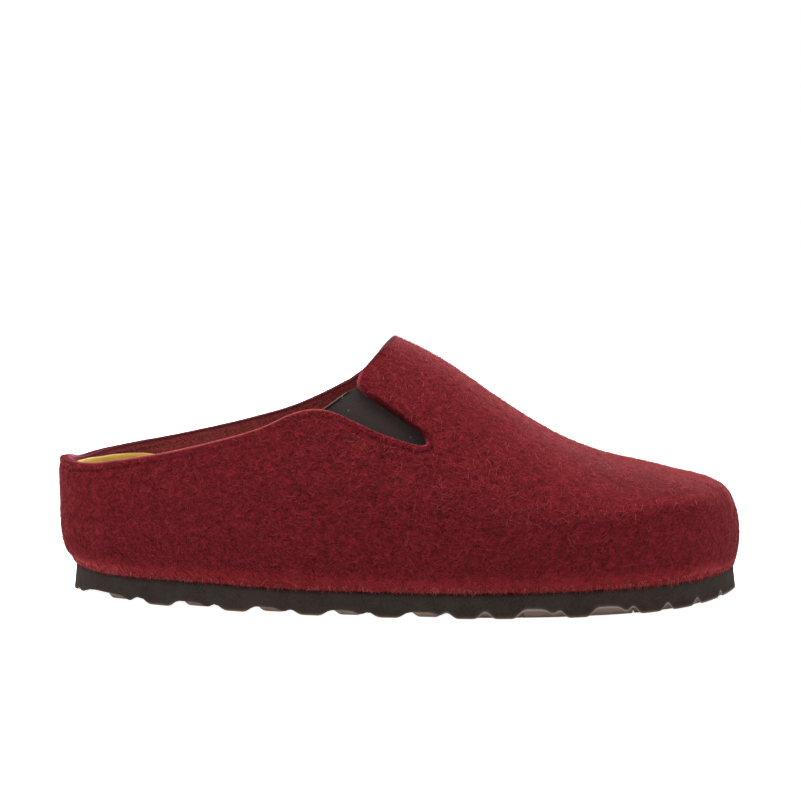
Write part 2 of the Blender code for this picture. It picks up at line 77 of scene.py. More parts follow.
def readTable(rows, x):
    # straight between the points of a table
    return np.interp(x, *np.array(rows).T)


def unit(vectors):
    return vectors / np.maximum(np.linalg.norm(vectors, axis=-1, keepdims=True), 1e-9)


def fromLine(spots, start, end):
    # how far along a line its point next to each spot lies, and the distance between the two
    start, run = np.array(start), np.subtract(end, start)
    share = np.clip(((spots - start) @ run) / (run @ run), 0, 1)
    return share, np.linalg.norm(spots - start - share[..., None] * run, axis=-1)


def loopThrough(rows, count, lap=4):
    # even steps along a closed curve through the rows
    rows = np.array(rows, float)
    wrapped = np.vstack([rows[-lap:], rows, rows[:lap + 1]])
    knots = runLength(wrapped[:, :2])
    fine = curveThrough(knots, wrapped)(np.linspace(knots[lap], knots[lap + len(rows)], 8 * count))
    length = runLength(fine[:, :2])
    steps = np.linspace(0, length[-1], count + 1)[:-1]
    return np.stack([np.interp(steps, length, column) for column in fine.T], axis=1)


def planNormals(loop):
    # the loop's direction turned a quarter turn, out of an anticlockwise loop
    along = np.roll(loop, -1, axis=0) - np.roll(loop, 1, axis=0)
    return unit(np.stack([along[:, 1], -along[:, 0]], axis=1))


def smoothStep(value, low, high):
    t = np.clip((value - low) / (high - low), 0, 1)
    return t * t * (3 - 2 * t)


def readColumns(columns, measure, targets):
    # columns read where their own rising measure reaches the targets, straight between samples
    fine = columns.shape[1]
    index = (measure[:, None, :] <= targets[:, :, None]).sum(axis=2) - 1
    index = np.clip(index, 0, fine - 2)
    low = np.take_along_axis(measure, index, 1)
    high = np.take_along_axis(measure, index + 1, 1)
    part = ((targets - low) / np.maximum(high - low, 1e-9))[..., None]
    index = np.repeat(index[..., None], columns.shape[2], axis=2)
    first = np.take_along_axis(columns, index, 1)
    second = np.take_along_axis(columns, index + 1, 1)
    return first * (1 - part) + second * part


# The last

last = {
    "loopPoints": 2880,
    "samples": 260,
    # edge of the sole from the back of the heel, anticlockwise: x, y, how far the felt bulges past it
    "outline": (
        (7.3, -1.0, 6.4), (10.6, -12.0, 6.0), (21.0, -22.8, 4.8), (40.5, -32.8, 3.6), (72.0, -45.5, 3.0),
        (99.0, -52.8, 2.8), (127.0, -57.2, 2.6), (152.0, -59.6, 2.6), (171.0, -59.6, 2.6),
        (196.0, -56.6, 2.6), (221.0, -48.0, 2.5), (236.0, -38.6, 2.3), (247.0, -26.5, 2.1),
        (255.5, -12.5, 2.0), (259.4, 0.5, 2.0), (257.5, 10.5, 2.0), (250.5, 20.5, 2.2), (236.0, 29.0, 2.5),
        (213.0, 34.4, 2.6), (187.0, 36.0, 2.8), (158.0, 33.6, 3.0), (128.0, 29.2, 3.2), (100.0, 26.6, 3.3),
        (72.0, 27.0, 3.4), (44.0, 28.8, 3.8), (21.5, 23.0, 4.8), (10.6, 11.5, 6.0),
    ),
    "sectionNames": ("crest", "widest", "crestShare", "fullness", "flatness", "tuck"),
    "sections": (
        (0.0, 118.0, 40.0, 0.50, 2.20, 1.40, 4.0),
        (60.0, 117.0, 37.5, 0.52, 2.40, 1.60, 4.0),
        (100.0, 110.5, 34.0, 0.54, 2.45, 1.75, 3.8),
        (129.0, 98.1, 33.0, 0.56, 2.32, 1.75, 3.6),
        (147.0, 88.9, 34.0, 0.56, 2.20, 1.62, 3.3),
        (169.0, 73.9, 34.0, 0.56, 2.10, 1.55, 3.0),
        (188.0, 61.8, 34.0, 0.57, 2.05, 1.52, 2.8),
        (205.0, 54.2, 35.0, 0.58, 2.02, 1.55, 2.6),
        (226.0, 48.9, 36.5, 0.58, 2.00, 1.62, 2.5),
        (244.0, 44.5, 36.0, 0.55, 2.05, 1.75, 2.5),
        (254.0, 42.5, 29.0, 0.52, 2.25, 1.95, 2.5),
        (262.0, 41.6, 21.5, 0.50, 2.40, 2.10, 2.5),
    ),
    "toeCapStart": 232.0,
    "toeCapPowers": (5.0, 2.0),
    "leanTurn": (60.0, 100.0),
    "heelWidthAt": 45.0,
}

section = tableCurves(last["sectionNames"], last["sections"])
edgeLoop = loopThrough(last["outline"], last["loopPoints"])
feather = edgeLoop[:, :2]
overhang = edgeLoop[:, 2]
featherNormal = planNormals(feather)
widestLoop = feather + featherNormal * overhang[:, None]
heelIndex = int(np.argmin(widestLoop[:, 0]))
toeIndex = int(np.argmax(widestLoop[:, 0]))
toeX = widestLoop[toeIndex, 0]

# the frame's origin lies below the middle of the widest line
middle = 0.5 * (widestLoop.min(axis=0) + widestLoop.max(axis=0))
shift = np.array([-middle[0], -middle[1], 0.0])


def sidesOf(loop):
    # the outer and inner edges of a loop as functions of x
    loop = np.roll(loop, -int(np.argmin(loop[:, 0])), axis=0)
    toe = int(np.argmax(loop[:, 0]))
    outer = loop[:toe + 1]
    inner = np.vstack([loop[toe:], loop[:1]])[::-1]
    return (
        lambda x: np.interp(x, outer[:, 0], outer[:, 1]),
        lambda x: np.interp(x, inner[:, 0], inner[:, 1]),
    )


widestOuter, widestInner = sidesOf(widestLoop)


def crestY(x):
    outer, inner = widestOuter(x), widestInner(x)
    return outer + (inner - outer) * section["crestShare"](x)


def crestZ(x):
    # crest of the table, rounded over into the toe by a superellipse
    wide = section["widest"](x)
    along = np.clip((x - last["toeCapStart"]) / (toeX - last["toeCapStart"]), 0, 1)
    first, second = last["toeCapPowers"]
    return wide + (section["crest"](x) - wide) * (1 - along ** first) ** (1 / second)


def halfWidth(x, side):
    edge = np.where(side < 0, widestOuter(x), widestInner(x))
    return np.maximum(np.abs(edge - crestY(x)), 1e-6)


def lastHeight(x, y):
    # superellipse from the widest line up to the crest, across each section
    away = y - crestY(x)
    share = np.clip(np.abs(away) / halfWidth(x, away), 0, 1)
    rise = (1 - share ** section["fullness"](x)) ** (1 / section["flatness"](x))
    wide = section["widest"](x)
    return wide + (crestZ(x) - wide) * rise


def shareAt(x, z):
    # the same superellipse read backwards: share of the half width where it reaches z
    wide = section["widest"](x)
    rise = np.clip((z - wide) / (crestZ(x) - wide), 0, 1)
    return (1 - rise ** section["flatness"](x)) ** (1 / section["fullness"](x))


def planAt(x, z, side):
    return np.stack([x, crestY(x) + side * shareAt(x, z) * halfWidth(x, side)], axis=-1)


def loopPlace(x, outer):
    # place along the widest line, counted from the heel, of its point at x on one side
    span = (toeIndex - heelIndex) % len(widestLoop)
    places = np.arange(span + 1) if outer else np.arange(span, len(widestLoop) + 1)
    xs = widestLoop[(heelIndex + places) % len(widestLoop), 0]
    order = np.argsort(xs)
    return float(np.interp(x, xs[order], places[order]))


def atPlaces(values, places):
    low = np.floor(places).astype(int)
    part = (places - low)[:, None]
    first = values[(heelIndex + low) % len(values)]
    second = values[(heelIndex + low + 1) % len(values)]
    return first * (1 - part) + second * part


def gridNormals(grid):
    # cross product of the grid's two directions; its columns close on themselves
    around = np.roll(grid, -1, axis=0) - np.roll(grid, 1, axis=0)
    return unit(np.cross(around, np.gradient(grid, axis=1)))


def swell(points, waveLength, waves, seed):
    # smooth lumps: a sum of sine waves in random directions, from -1 to 1
    draw = np.random.default_rng(seed)
    ways = unit(draw.normal(size=(waves, 3)))
    ways = ways * (2 * np.pi / (waveLength * draw.uniform(0.7, 1.5, waves)))[:, None]
    phase = draw.uniform(0, 2 * np.pi, waves)
    total = np.zeros(points.shape[:-1])
    for way, start in zip(ways, phase):
        total += np.sin(points @ way + start)
    return total / np.sqrt(2 * waves)


# Meshes

def ringFaces(rings, columns, closed=False):
    # quads between neighbouring rings of a grid whose columns close on themselves
    ring = np.arange(rings if closed else rings - 1)[:, None]
    column = np.arange(columns)[None]
    after = (column + 1) % columns
    low, high = ring * columns, (ring + 1) % rings * columns
    return np.stack([low + column, low + after, high + after, high + column], axis=-1).reshape(-1, 4)


def stripAcross(start, count):
    # quads from side to side of a ring that begins at the heel, facing up
    i = np.arange(1, count // 2 - 1)
    quads = np.stack([start + count - i, start + i, start + i + 1, start + count - i - 1], axis=-1)
    tris = np.array([
        (start, start + 1, start + count - 1),
        (start + count // 2 + 1, start + count // 2 - 1, start + count // 2),
    ])
    return quads, tris


def makePiece(name, points, quads, tris, materials, values=None, node=None, finish=None):
    mesh = bpy.data.meshes.new(name)
    quads = np.asarray(quads, np.int32).reshape(-1, 4)
    tris = np.asarray(tris, np.int32).reshape(-1, 3)
    points = (np.asarray(points, float).reshape(-1, 3) + shift) * mm
    mesh.vertices.add(len(points))
    mesh.vertices.foreach_set("co", points.astype(np.float32).ravel())
    mesh.loops.add(quads.size + tris.size)
    mesh.loops.foreach_set("vertex_index", np.concatenate([quads.ravel(), tris.ravel()]))
    starts = np.concatenate([np.arange(len(quads)) * 4, quads.size + np.arange(len(tris)) * 3])
    mesh.polygons.add(len(starts))
    mesh.polygons.foreach_set("loop_start", starts.astype(np.int32))
    mesh.polygons.foreach_set("use_smooth", np.ones(len(starts), bool))
    mesh.update(calc_edges=True)
    for key, value in (values or {}).items():
        attribute = mesh.attributes.new(key, "FLOAT", "POINT")
        attribute.data.foreach_set("value", np.asarray(value, np.float32).ravel())
    for material in materials:
        mesh.materials.append(material)
    if finish is not None:
        mesh.polygons.foreach_set("material_index", np.asarray(finish, np.int32))
    piece = bpy.data.objects.new(name, mesh)
    bpy.context.scene.collection.objects.link(piece)
    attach(piece, "root")
    if node:
        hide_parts(node)
    print(f"{name}: {2 * len(quads) + len(tris)} triangles")
    return piece


# Shader helpers

def put(tree, kind, inputs=None, **settings):
    node = tree.nodes.new(kind)
    for key, value in settings.items():
        setattr(node, key, value)
    for key, value in (inputs or {}).items():
        if isinstance(value, bpy.types.NodeSocket):
            tree.links.new(value, node.inputs[key])
        else:
            node.inputs[key].default_value = value
    return node


def calc(tree, operation, first, second=0.0, third=0.0, clamp=False):
    inputs = {0: first, 1: second, 2: third}
    return put(tree, "ShaderNodeMath", inputs, operation=operation, use_clamp=clamp).outputs[0]


def times(tree, first, second):
    return calc(tree, "MULTIPLY", first, second)


def blendColor(tree, factor, first, second):
    # each colour is a socket or red, green and blue
    colors = [color if isinstance(color, bpy.types.NodeSocket) else (*color, 1) for color in (first, second)]
    return put(tree, "ShaderNodeMix", {0: factor, 6: colors[0], 7: colors[1]}, data_type="RGBA").outputs[2]


def layColors(tree, color, layers):
    # tints laid over a colour in turn, each by its mask and its share
    for mask, share, tint in layers:
        color = blendColor(tree, times(tree, mask, share), color, tint)
    return color


def colorRamp(tree, value, stops):
    # colours between stops, each a place and a colour, in rising order
    node = put(tree, "ShaderNodeValToRGB", {0: value})
    steps = node.color_ramp.elements
    for step, (place, color) in zip(steps, (stops[0], stops[-1])):
        step.position = place
        step.color = (*color, 1)
    for place, color in stops[1:-1]:
        steps.new(place).color = (*color, 1)
    return node.outputs[0]


def remap(tree, value, low, high, newLow=0.0, newHigh=1.0):
    inputs = {0: value, 1: low, 2: high, 3: newLow, 4: newHigh}
    return put(tree, "ShaderNodeMapRange", inputs, interpolation_type="SMOOTHSTEP", clamp=True).outputs[0]


def noise(tree, vector, scale, detail=2.0, roughness=0.5, distortion=0.0):
    names = ("Vector", "Scale", "Detail", "Roughness", "Distortion")
    inputs = dict(zip(names, (vector, scale, detail, roughness, distortion)))
    return put(tree, "ShaderNodeTexNoise", inputs).outputs[0]


def newGroup(name, inputs, outputs):
    group = bpy.data.node_groups.new(name, "ShaderNodeTree")
    for key, kind in inputs.items():
        group.interface.new_socket(name=key, in_out="INPUT", socket_type="NodeSocket" + kind)
    for key, kind in outputs.items():
        group.interface.new_socket(name=key, in_out="OUTPUT", socket_type="NodeSocket" + kind)
    return group, put(group, "NodeGroupInput"), put(group, "NodeGroupOutput")


def placeGroup(tree, group, inputs):
    return put(tree, "ShaderNodeGroup", inputs, node_tree=group)


def tangledFibreGroup():
    # thin curly lines: where a stirred noise passes its middle value, broken up by a finer one
    group, given, out = newGroup(
        "tangledFibre", {"Vector": "Vector", "Scale": "Float", "Thinness": "Float"}, {"Mask": "Float"})
    vector, scale, thin = (given.outputs[i] for i in range(3))
    most = 0.0
    for offset, factor in ((0.13, 1.0), (0.71, 1.45), (0.37, 0.8)):
        offsets = {0: vector, 1: (offset, offset * 2, -offset)}
        moved = put(group, "ShaderNodeVectorMath", offsets, operation="ADD").outputs[0]
        value = noise(group, moved, times(group, scale, factor), 2.0, 0.5, 1.6)
        away = calc(group, "ABSOLUTE", calc(group, "SUBTRACT", value, 0.5))
        line = calc(group, "SUBTRACT", 1.0, times(group, away, thin), clamp=True)
        broken = noise(group, moved, times(group, scale, 1.2 * factor), 1.0)
        most = calc(group, "MAXIMUM", times(group, line, remap(group, broken, 0.38, 0.64)), most)
    group.links.new(most, out.inputs[0])
    return group


def mottleGroup():
    # patches, flecks and pepper: three noises from coarse to fine, each from 0 to 1
    outputs = {"Patch": "Float", "Fleck": "Float", "Pepper": "Float"}
    group, given, out = newGroup("mottle", {"Vector": "Vector", "Scale": "Float"}, outputs)
    vector, scale = given.outputs[0], given.outputs[1]
    bands = ((1.0, 0.32, 0.68), (4.2, 0.34, 0.66), (13.0, 0.32, 0.68))
    for index, (factor, low, high) in enumerate(bands):
        value = noise(group, vector, times(group, scale, factor), 2.0, 0.55, 0.4)
        group.links.new(remap(group, value, low, high), out.inputs[index])
    return group


tangledFibre = tangledFibreGroup()
mottle = mottleGroup()


def newMaterial(name, roughness, specular):
    material = bpy.data.materials.new(name)
    material.use_nodes = True
    shader = material.node_tree.nodes["Principled BSDF"]
    shader.inputs["Roughness"].default_value = roughness
    shader.inputs["Specular IOR Level"].default_value = specular
    shader.inputs["Metallic"].default_value = 0.0
    vector = put(material.node_tree, "ShaderNodeTexCoord").outputs["Object"]
    return material, material.node_tree, shader, vector


def attributeValue(tree, name):
    return put(tree, "ShaderNodeAttribute", attribute_name=name).outputs["Fac"]


def addBump(tree, shader, height, strength, distance):
    inputs = {"Height": height, "Strength": strength, "Distance": distance * mm}
    tree.links.new(put(tree, "ShaderNodeBump", inputs).outputs[0], shader.inputs["Normal"])


def setSheen(shader, weight, tint, roughness=0.5):
    for key, value in (("Weight", weight), ("Tint", (*tint, 1)), ("Roughness", roughness)):
        shader.inputs["Sheen " + key].default_value = value


# Felt upper

felt = {
    "wall": 3.5,
    "bottom": 9.6,              # felt meets the sole here
    "margin": 8.0,              # turned in under the footbed
    "slotEnd": 138.6,
    "outerColumns": 145,
    "innerColumns": 115,
    "footRows": 18,
    "wallRows": 74,
    "rimRows": 17,
    "rimReach": 5.5,
    "edgeRows": 7,              # rows at the cut edge whose normals are checked
    "insideStep": 3,            # the lining has every third row of the wall
    "rimRound": (1.05, 2.4),    # length and power of the rounding of the cut edge
    "rolled": (2.6, 1.1, 0.42), # where it rolls in: longer outside, shorter inside, share of the wall deeper
    "crisp": (0.35, 0.65),      # where it is cut square: share of the wall deeper, share of the rounding lost
    "crispFrom": (5.0, 15.0),   # the inner side's collar is squarer from this far off the heel's middle
    "shaded": (4.8, (0.4, 1.8)),     # how far below the edge the painted shade of a rolled and a square cut reaches
    "turned": (2.2, 1.0, 0.45),      # and how far they lose their sheen, past which share
    "rollRoom": 3.0,            # width of the rolled edge that is free of fibres
    # thicker at the back of the collar: by how much, over x, below the rim
    "heelPad": (1.5, (5.0, 20.0), (5.0, 16.0)),
    "groove": (3.1, 0.55, 0.36),     # place below the cut edge, half width and depth of the pressed groove
    "grooveFade": ((16.0, 1.0), (46.0, 0.4), (106.0, 0.4), (118.0, 0.8), (138.0, 1.1)),  # its share by x
    # by x: above nought a painted highlight on the cut of the outer collar, partly its paler cut wool; below
    # nought painted shade on it
    "cutLightShadeByX": (
        (2.0, -0.6), (6.0, -0.5), (14.0, 0.1), (36.0, 0.8), (100.0, 0.9), (108.0, 0.2), (138.0, 0.1),
    ),
    "footRound": ((238.0, 0.3, 0.4), (258.0, 1.0, 1.1)),  # rounding above the sole: x, depth and height
    "lumps": ((26.0, 0.14), (11.0, 0.06)),
    "lumpsFrom": (2.0, 0.4),    # the lumps start this far above the sole and below the cut edge
    # how much higher the felt meets the sole, by x, and the height over which that fades
    "footLine": (
        (3.0, 1.7), (9.0, 1.5), (20.0, 0.4), (35.0, 0.1), (60.0, 0.2), (90.0, -0.35), (150.0, -0.45),
        (200.0, 0.0),
    ),
    "footFade": 8.0,
    # how far the back of the heel lies further in, by z, and where along x that ends
    "heelLine": (
        (9.0, 0.5), (13.0, 0.3), (17.0, 0.1), (24.0, 0.25), (31.0, 0.5), (36.0, 0.6), (41.0, 0.3),
        (46.0, -0.2), (52.0, -0.4),
    ),
    "heelLineUntil": (5.0, 28.0),
    "creaseUntil": (-12.0, -4.0),    # the creases end short of the crest
    # soft troughs and ridges on the outer side: two ends as x and z, half width and depth
    "creases": (
        (22.0, 39.0, 42.0, 33.0, 7.0, 0.55), (44.0, 30.0, 70.0, 26.0, 6.0, 0.3),
        (118.0, 34.0, 152.0, 33.0, 4.5, 0.45), (116.0, 41.0, 150.0, 40.5, 4.0, -0.3),
        (160.0, 29.0, 232.0, 33.0, 4.0, 0.35), (143.0, 56.0, 150.0, 63.0, 3.0, -0.35),
        (150.0, 52.0, 158.0, 60.0, 4.0, 0.4), (88.0, 52.0, 112.0, 46.0, 7.0, -0.35),
        (60.0, 46.0, 82.0, 40.0, 7.0, 0.3),
    ),
    # collar and lower edge of the slot on the outer side
    "outerRim": (
        (0.0, 52.2), (5.0, 51.6), (10.0, 51.3), (16.0, 51.6), (24.0, 53.0), (42.0, 56.5), (62.0, 61.6),
        (81.0, 67.4), (95.0, 73.3), (100.5, 74.2), (106.0, 73.6), (114.0, 70.5), (124.0, 66.0),
        (132.0, 63.3), (138.6, 61.6),
    ),
    "innerRim": (
        (0.0, 52.2), (2.0, 51.6), (4.0, 50.6), (6.0, 50.6), (9.0, 51.3), (12.5, 52.0), (20.5, 53.3),
        (42.0, 56.9), (72.0, 63.8), (92.0, 70.1), (104.0, 75.8), (112.0, 80.1),
    ),
    # edge of the vamp: x, z, side, share of the groove, how far it rolls in, its cut's painted highlight
    # (partly paler cut wool) or, below nought, painted shade, how square it is
    "vampEdge": (
        (138.6, 61.6, -1, 1.1, 0.1, 0.1, 0), (140.9, 62.9, -1, 1.0, 0.4, 0.8, 0),
        (140.2, 65.2, -1, 0.5, 0.6, 0.0, 0), (135.2, 69.3, -1, 0.0, 0.8, 0.0, 0),
        (129.8, 73.0, -1, 0.0, 1.0, 0.0, 0), (122.7, 77.7, -1, 0.0, 0.9, 0.0, 0),
        (117.6, 81.2, -1, 0.0, 0.5, 0.3, 0), (116.0, 83.2, -1, 0.1, 0.1, 0.7, 0),
        (116.6, 85.6, -1, 0.1, 0.0, 0.6, 0), (120.8, 90.5, -1, 0.1, 0.0, -1, 0),
        (125.8, 95.4, -1, 0.1, 0.0, -1, 0), (129.3, 97.8, 0, 0.1, 0.0, -0.6, 0),
        (126.0, 95.0, 1, 0.1, 0.0, -0.6, 0.6), (122.0, 89.8, 1, 0.2, 0.0, 0.0, 1),
        (117.0, 84.0, 1, 0.3, 0.0, 0.0, 1), (112.0, 80.1, 1, 0.45, 0.0, 0.0, 1),
    ),
    # fans of wall columns: row of the edge where one ends, x on the widest line below, side, columns
    "vampSpans": ((2, 186.0, -1, 45), (7, 236.0, -1, 60), (11, 262.0, -1, 60), (15, 112.0, 1, 100)),
    # colours of the wool by tone
    "reds": (
        (0.08, (0.0175, 0.0017, 0.0026)), (0.50, (0.046, 0.0037, 0.0053)), (0.92, (0.128, 0.0088, 0.0125)),
    ),
    # curls over them, coarse and thin: scale, thinness, share, colour
    "curls": ((560.0, 28.0, 0.90, (0.350, 0.0260, 0.0360)), (1150.0, 16.0, 0.80, (0.270, 0.0225, 0.0295))),
    "crown": (0.030, 0.0030, 0.0042),        # painted shade on faces that look straight up, most on the flat top of the toe
    "napAndFloorLight": ((0.220, 0.0190, 0.0235), (0.500, 0.0430, 0.0520)),   # brushed foot above the sole, paler partly from its fuzz, partly as painted light from the floor
    "ends": (0.680, 0.1150, 0.1180),         # palest wool low on heel and toe: partly fuzz, partly painted light from the floor
    # inside face, painted paler and duskier than the outer wool: painted light on the shaded inner wall
    "paintedLightLining": ((0.190, 0.041, 0.062), (0.400, 0.100, 0.150)),
    "grooveShade": (0.020, 0.003, 0.005),
    # painted highlight on the cut edge, partly its paler cut wool
    "cutHighlightColors": ((0.250, 0.045, 0.048), (0.500, 0.105, 0.110)),
    "turnedShade": (0.014, 0.0016, 0.0026),
    "sheen": ((0.92, 0.305, 0.32), 0.27),    # tint and roughness
}

outerRim = curveThrough(*np.array(felt["outerRim"]).T)
innerRim = curveThrough(*np.array(felt["innerRim"]).T)


def feltPlaces():
    # base of every column along the widest line, its place along the vamp's edge and the finish of its cut
    rows = np.array(felt["vampEdge"], float)
    plan = planAt(rows[:, 0], rows[:, 1], rows[:, 2])
    knots = runLength(plan)
    base = loopPlace(felt["slotEnd"], True)
    outer = np.linspace(0, base, felt["outerColumns"], endpoint=False)
    vamp, onEdge, row = [], [], 0
    for endRow, baseX, side, count in felt["vampSpans"]:
        end = loopPlace(baseX, side < 0)
        vamp.append(np.linspace(base, end, count, endpoint=False))
        onEdge.append(np.linspace(knots[row], knots[endRow], count, endpoint=False))
        base, row = end, endRow
    vamp = np.append(np.concatenate(vamp), base)
    onEdge = np.append(np.concatenate(onEdge), knots[-1])
    inner = np.linspace(base, len(widestLoop), felt["innerColumns"], endpoint=False)[1:]
    outerX, innerX = (atPlaces(widestLoop, places)[:, 0] for places in (outer, inner))
    fromHeel = atPlaces(widestLoop, inner)[:, 1] - widestLoop[heelIndex, 1]
    outerNone, innerNone = np.zeros(len(outer)), np.zeros(len(inner))
    # the quarters on both sides of the vamp, in the order of its edge's own columns
    quarters = {
        "groove": (readTable(felt["grooveFade"], outerX), readTable(felt["grooveFade"], innerX)),
        "roll": (outerNone, innerNone),
        "cutLightShade": (readTable(felt["cutLightShadeByX"], outerX), innerNone),
        "crisp": (outerNone, smoothStep(fromHeel, *felt["crispFrom"])),
    }
    finish = {}
    for column, (key, (before, behind)) in zip(rows.T[3:], quarters.items()):
        finish[key] = np.concatenate([before, np.interp(onEdge, knots, column), behind])[:, None]
    return outer, vamp, curveThrough(knots, plan)(onEdge), inner, finish


def quarterColumns(places, rim, side):
    # walls that lean in along the outline's normal at the heel and along y further on
    base = atPlaces(widestLoop, places)
    x = base[:, 0]
    straight = smoothStep(x, *last["leanTurn"])[:, None]
    lean = unit(atPlaces(featherNormal, places) * (1 - straight) + np.array([0.0, side]) * straight)
    top = shareAt(x, rim(x))
    inset = (1 - top) * halfWidth(np.maximum(x, last["heelWidthAt"]), np.full(len(x), side))
    part = np.linspace(0, 1, last["samples"]) ** 2
    shares = 1 - (1 - top)[:, None] * part
    wide = section["widest"](x)[:, None]
    rise = (1 - shares ** section["fullness"](x)[:, None]) ** (1 / section["flatness"](x)[:, None])
    z = wide + (crestZ(x)[:, None] - wide) * rise
    plan = base[:, None] - lean[:, None] * (inset[:, None] * part)[..., None]
    return np.dstack([plan, z])


def vampColumns(places, edge):
    # walls straight in plan from the widest line to the vamp's edge, on the last's height
    base = atPlaces(widestLoop, places)
    part = (np.linspace(0, 1, last["samples"]) ** 2)[None, :, None]
    plan = base[:, None] + (edge - base)[:, None] * part
    return np.dstack([plan, lastHeight(plan[..., 0], plan[..., 1])])


def footColumns(places):
    # tucked foot: from the feather edge it swings out to the widest line by a power of the height
    foot = atPlaces(feather, places)
    normal = atPlaces(featherNormal, places)
    reach = atPlaces(overhang[:, None], places)
    x = atPlaces(widestLoop, places)[:, 0]
    wide = section["widest"](x)[:, None]
    z = felt["bottom"] + (wide - felt["bottom"]) * np.linspace(0, 1, last["samples"])
    left = np.clip((wide - z) / (wide - felt["bottom"]), 0, 1)
    out = reach * (1 - left ** section["tuck"](x)[:, None])
    return np.dstack([foot[:, None] + normal[:, None] * out[..., None], z])


def lengthsAlong(columns):
    runs = np.linalg.norm(np.diff(columns, axis=1), axis=2)
    return np.pad(runs.cumsum(axis=1), ((0, 0), (1, 0)))


def footRise(x):
    # how much higher than its bottom the felt meets the sole, along the shoe
    return readTable(felt["footLine"], x)


def feltSurface():
    # outer face of the felt: turned-in margin, tucked foot and wall, row by row up to the cut edge
    outer, vamp, edge, inner, finish = feltPlaces()
    places = np.concatenate([outer, vamp, inner])
    quarters = quarterColumns(outer, outerRim, -1.0), quarterColumns(inner, innerRim, 1.0)
    walls = np.concatenate([quarters[0], vampColumns(vamp, edge), quarters[1]])
    along = lengthsAlong(walls)
    total = along[:, -1:]
    fromRim = felt["rimReach"] * np.linspace(1, 0, felt["rimRows"]) ** 1.5
    lower = (total - felt["rimReach"]) * np.linspace(0, 1, felt["wallRows"], endpoint=False)
    targets = np.concatenate([lower, total - fromRim], axis=1)
    wall = readColumns(walls, along, targets)
    feet = footColumns(places)
    along = lengthsAlong(feet)
    steps = np.linspace(0, 1, felt["footRows"], endpoint=False) ** 1.3
    foot = readColumns(feet, along, along[:, -1:] * steps)
    out = atPlaces(featherNormal, places)[:, None]
    hemX, *hem = np.array(felt["footRound"]).T
    sink, height = (np.interp(foot[..., 0], hemX, column) for column in hem)
    foot[..., :2] -= out * (sink * np.exp(-(foot[..., 2] - felt["bottom"]) / height))[..., None]
    shares = np.array([1.0, 0.6, 0.25])
    margin = atPlaces(feather, places)[:, None] - out * (felt["margin"] * shares)[:, None]
    margin = np.dstack([margin, np.full(margin.shape[:2], felt["bottom"])])
    grid = np.concatenate([margin, foot, wall], axis=1)
    above = grid[..., 2] - felt["bottom"]
    grid[..., 2] += footRise(grid[..., 0]) * (1 - smoothStep(above, 0.0, felt["footFade"]))
    further = curveThrough(*np.array(felt["heelLine"]).T)(grid[..., 2])
    grid[..., 0] += further * (1 - smoothStep(grid[..., 0], *felt["heelLineUntil"]))
    below = np.full(grid.shape[:2], 1e3)
    below[:, -targets.shape[1]:] = total - targets
    return grid, below, finish


def creaseDepth(grid):
    # troughs and ridges: depth * exp(-(distance / width)^2) from each line, on the outer side only
    depth = np.zeros(grid.shape[:2])
    for x0, z0, x1, z1, width, size in felt["creases"]:
        away = fromLine(grid[..., [0, 2]], (x0, z0), (x1, z1))[1]
        depth += size * np.exp(-(away / width) ** 2)
    return depth * (1 - smoothStep(grid[..., 1] - crestY(grid[..., 0]), *felt["creaseUntil"]))


def quarterRound(share, power):
    # superellipse from 0 at the edge to 1 where the rounding ends
    return (1 - (1 - np.clip(share, 0, 1)) ** power) ** (1 / power)


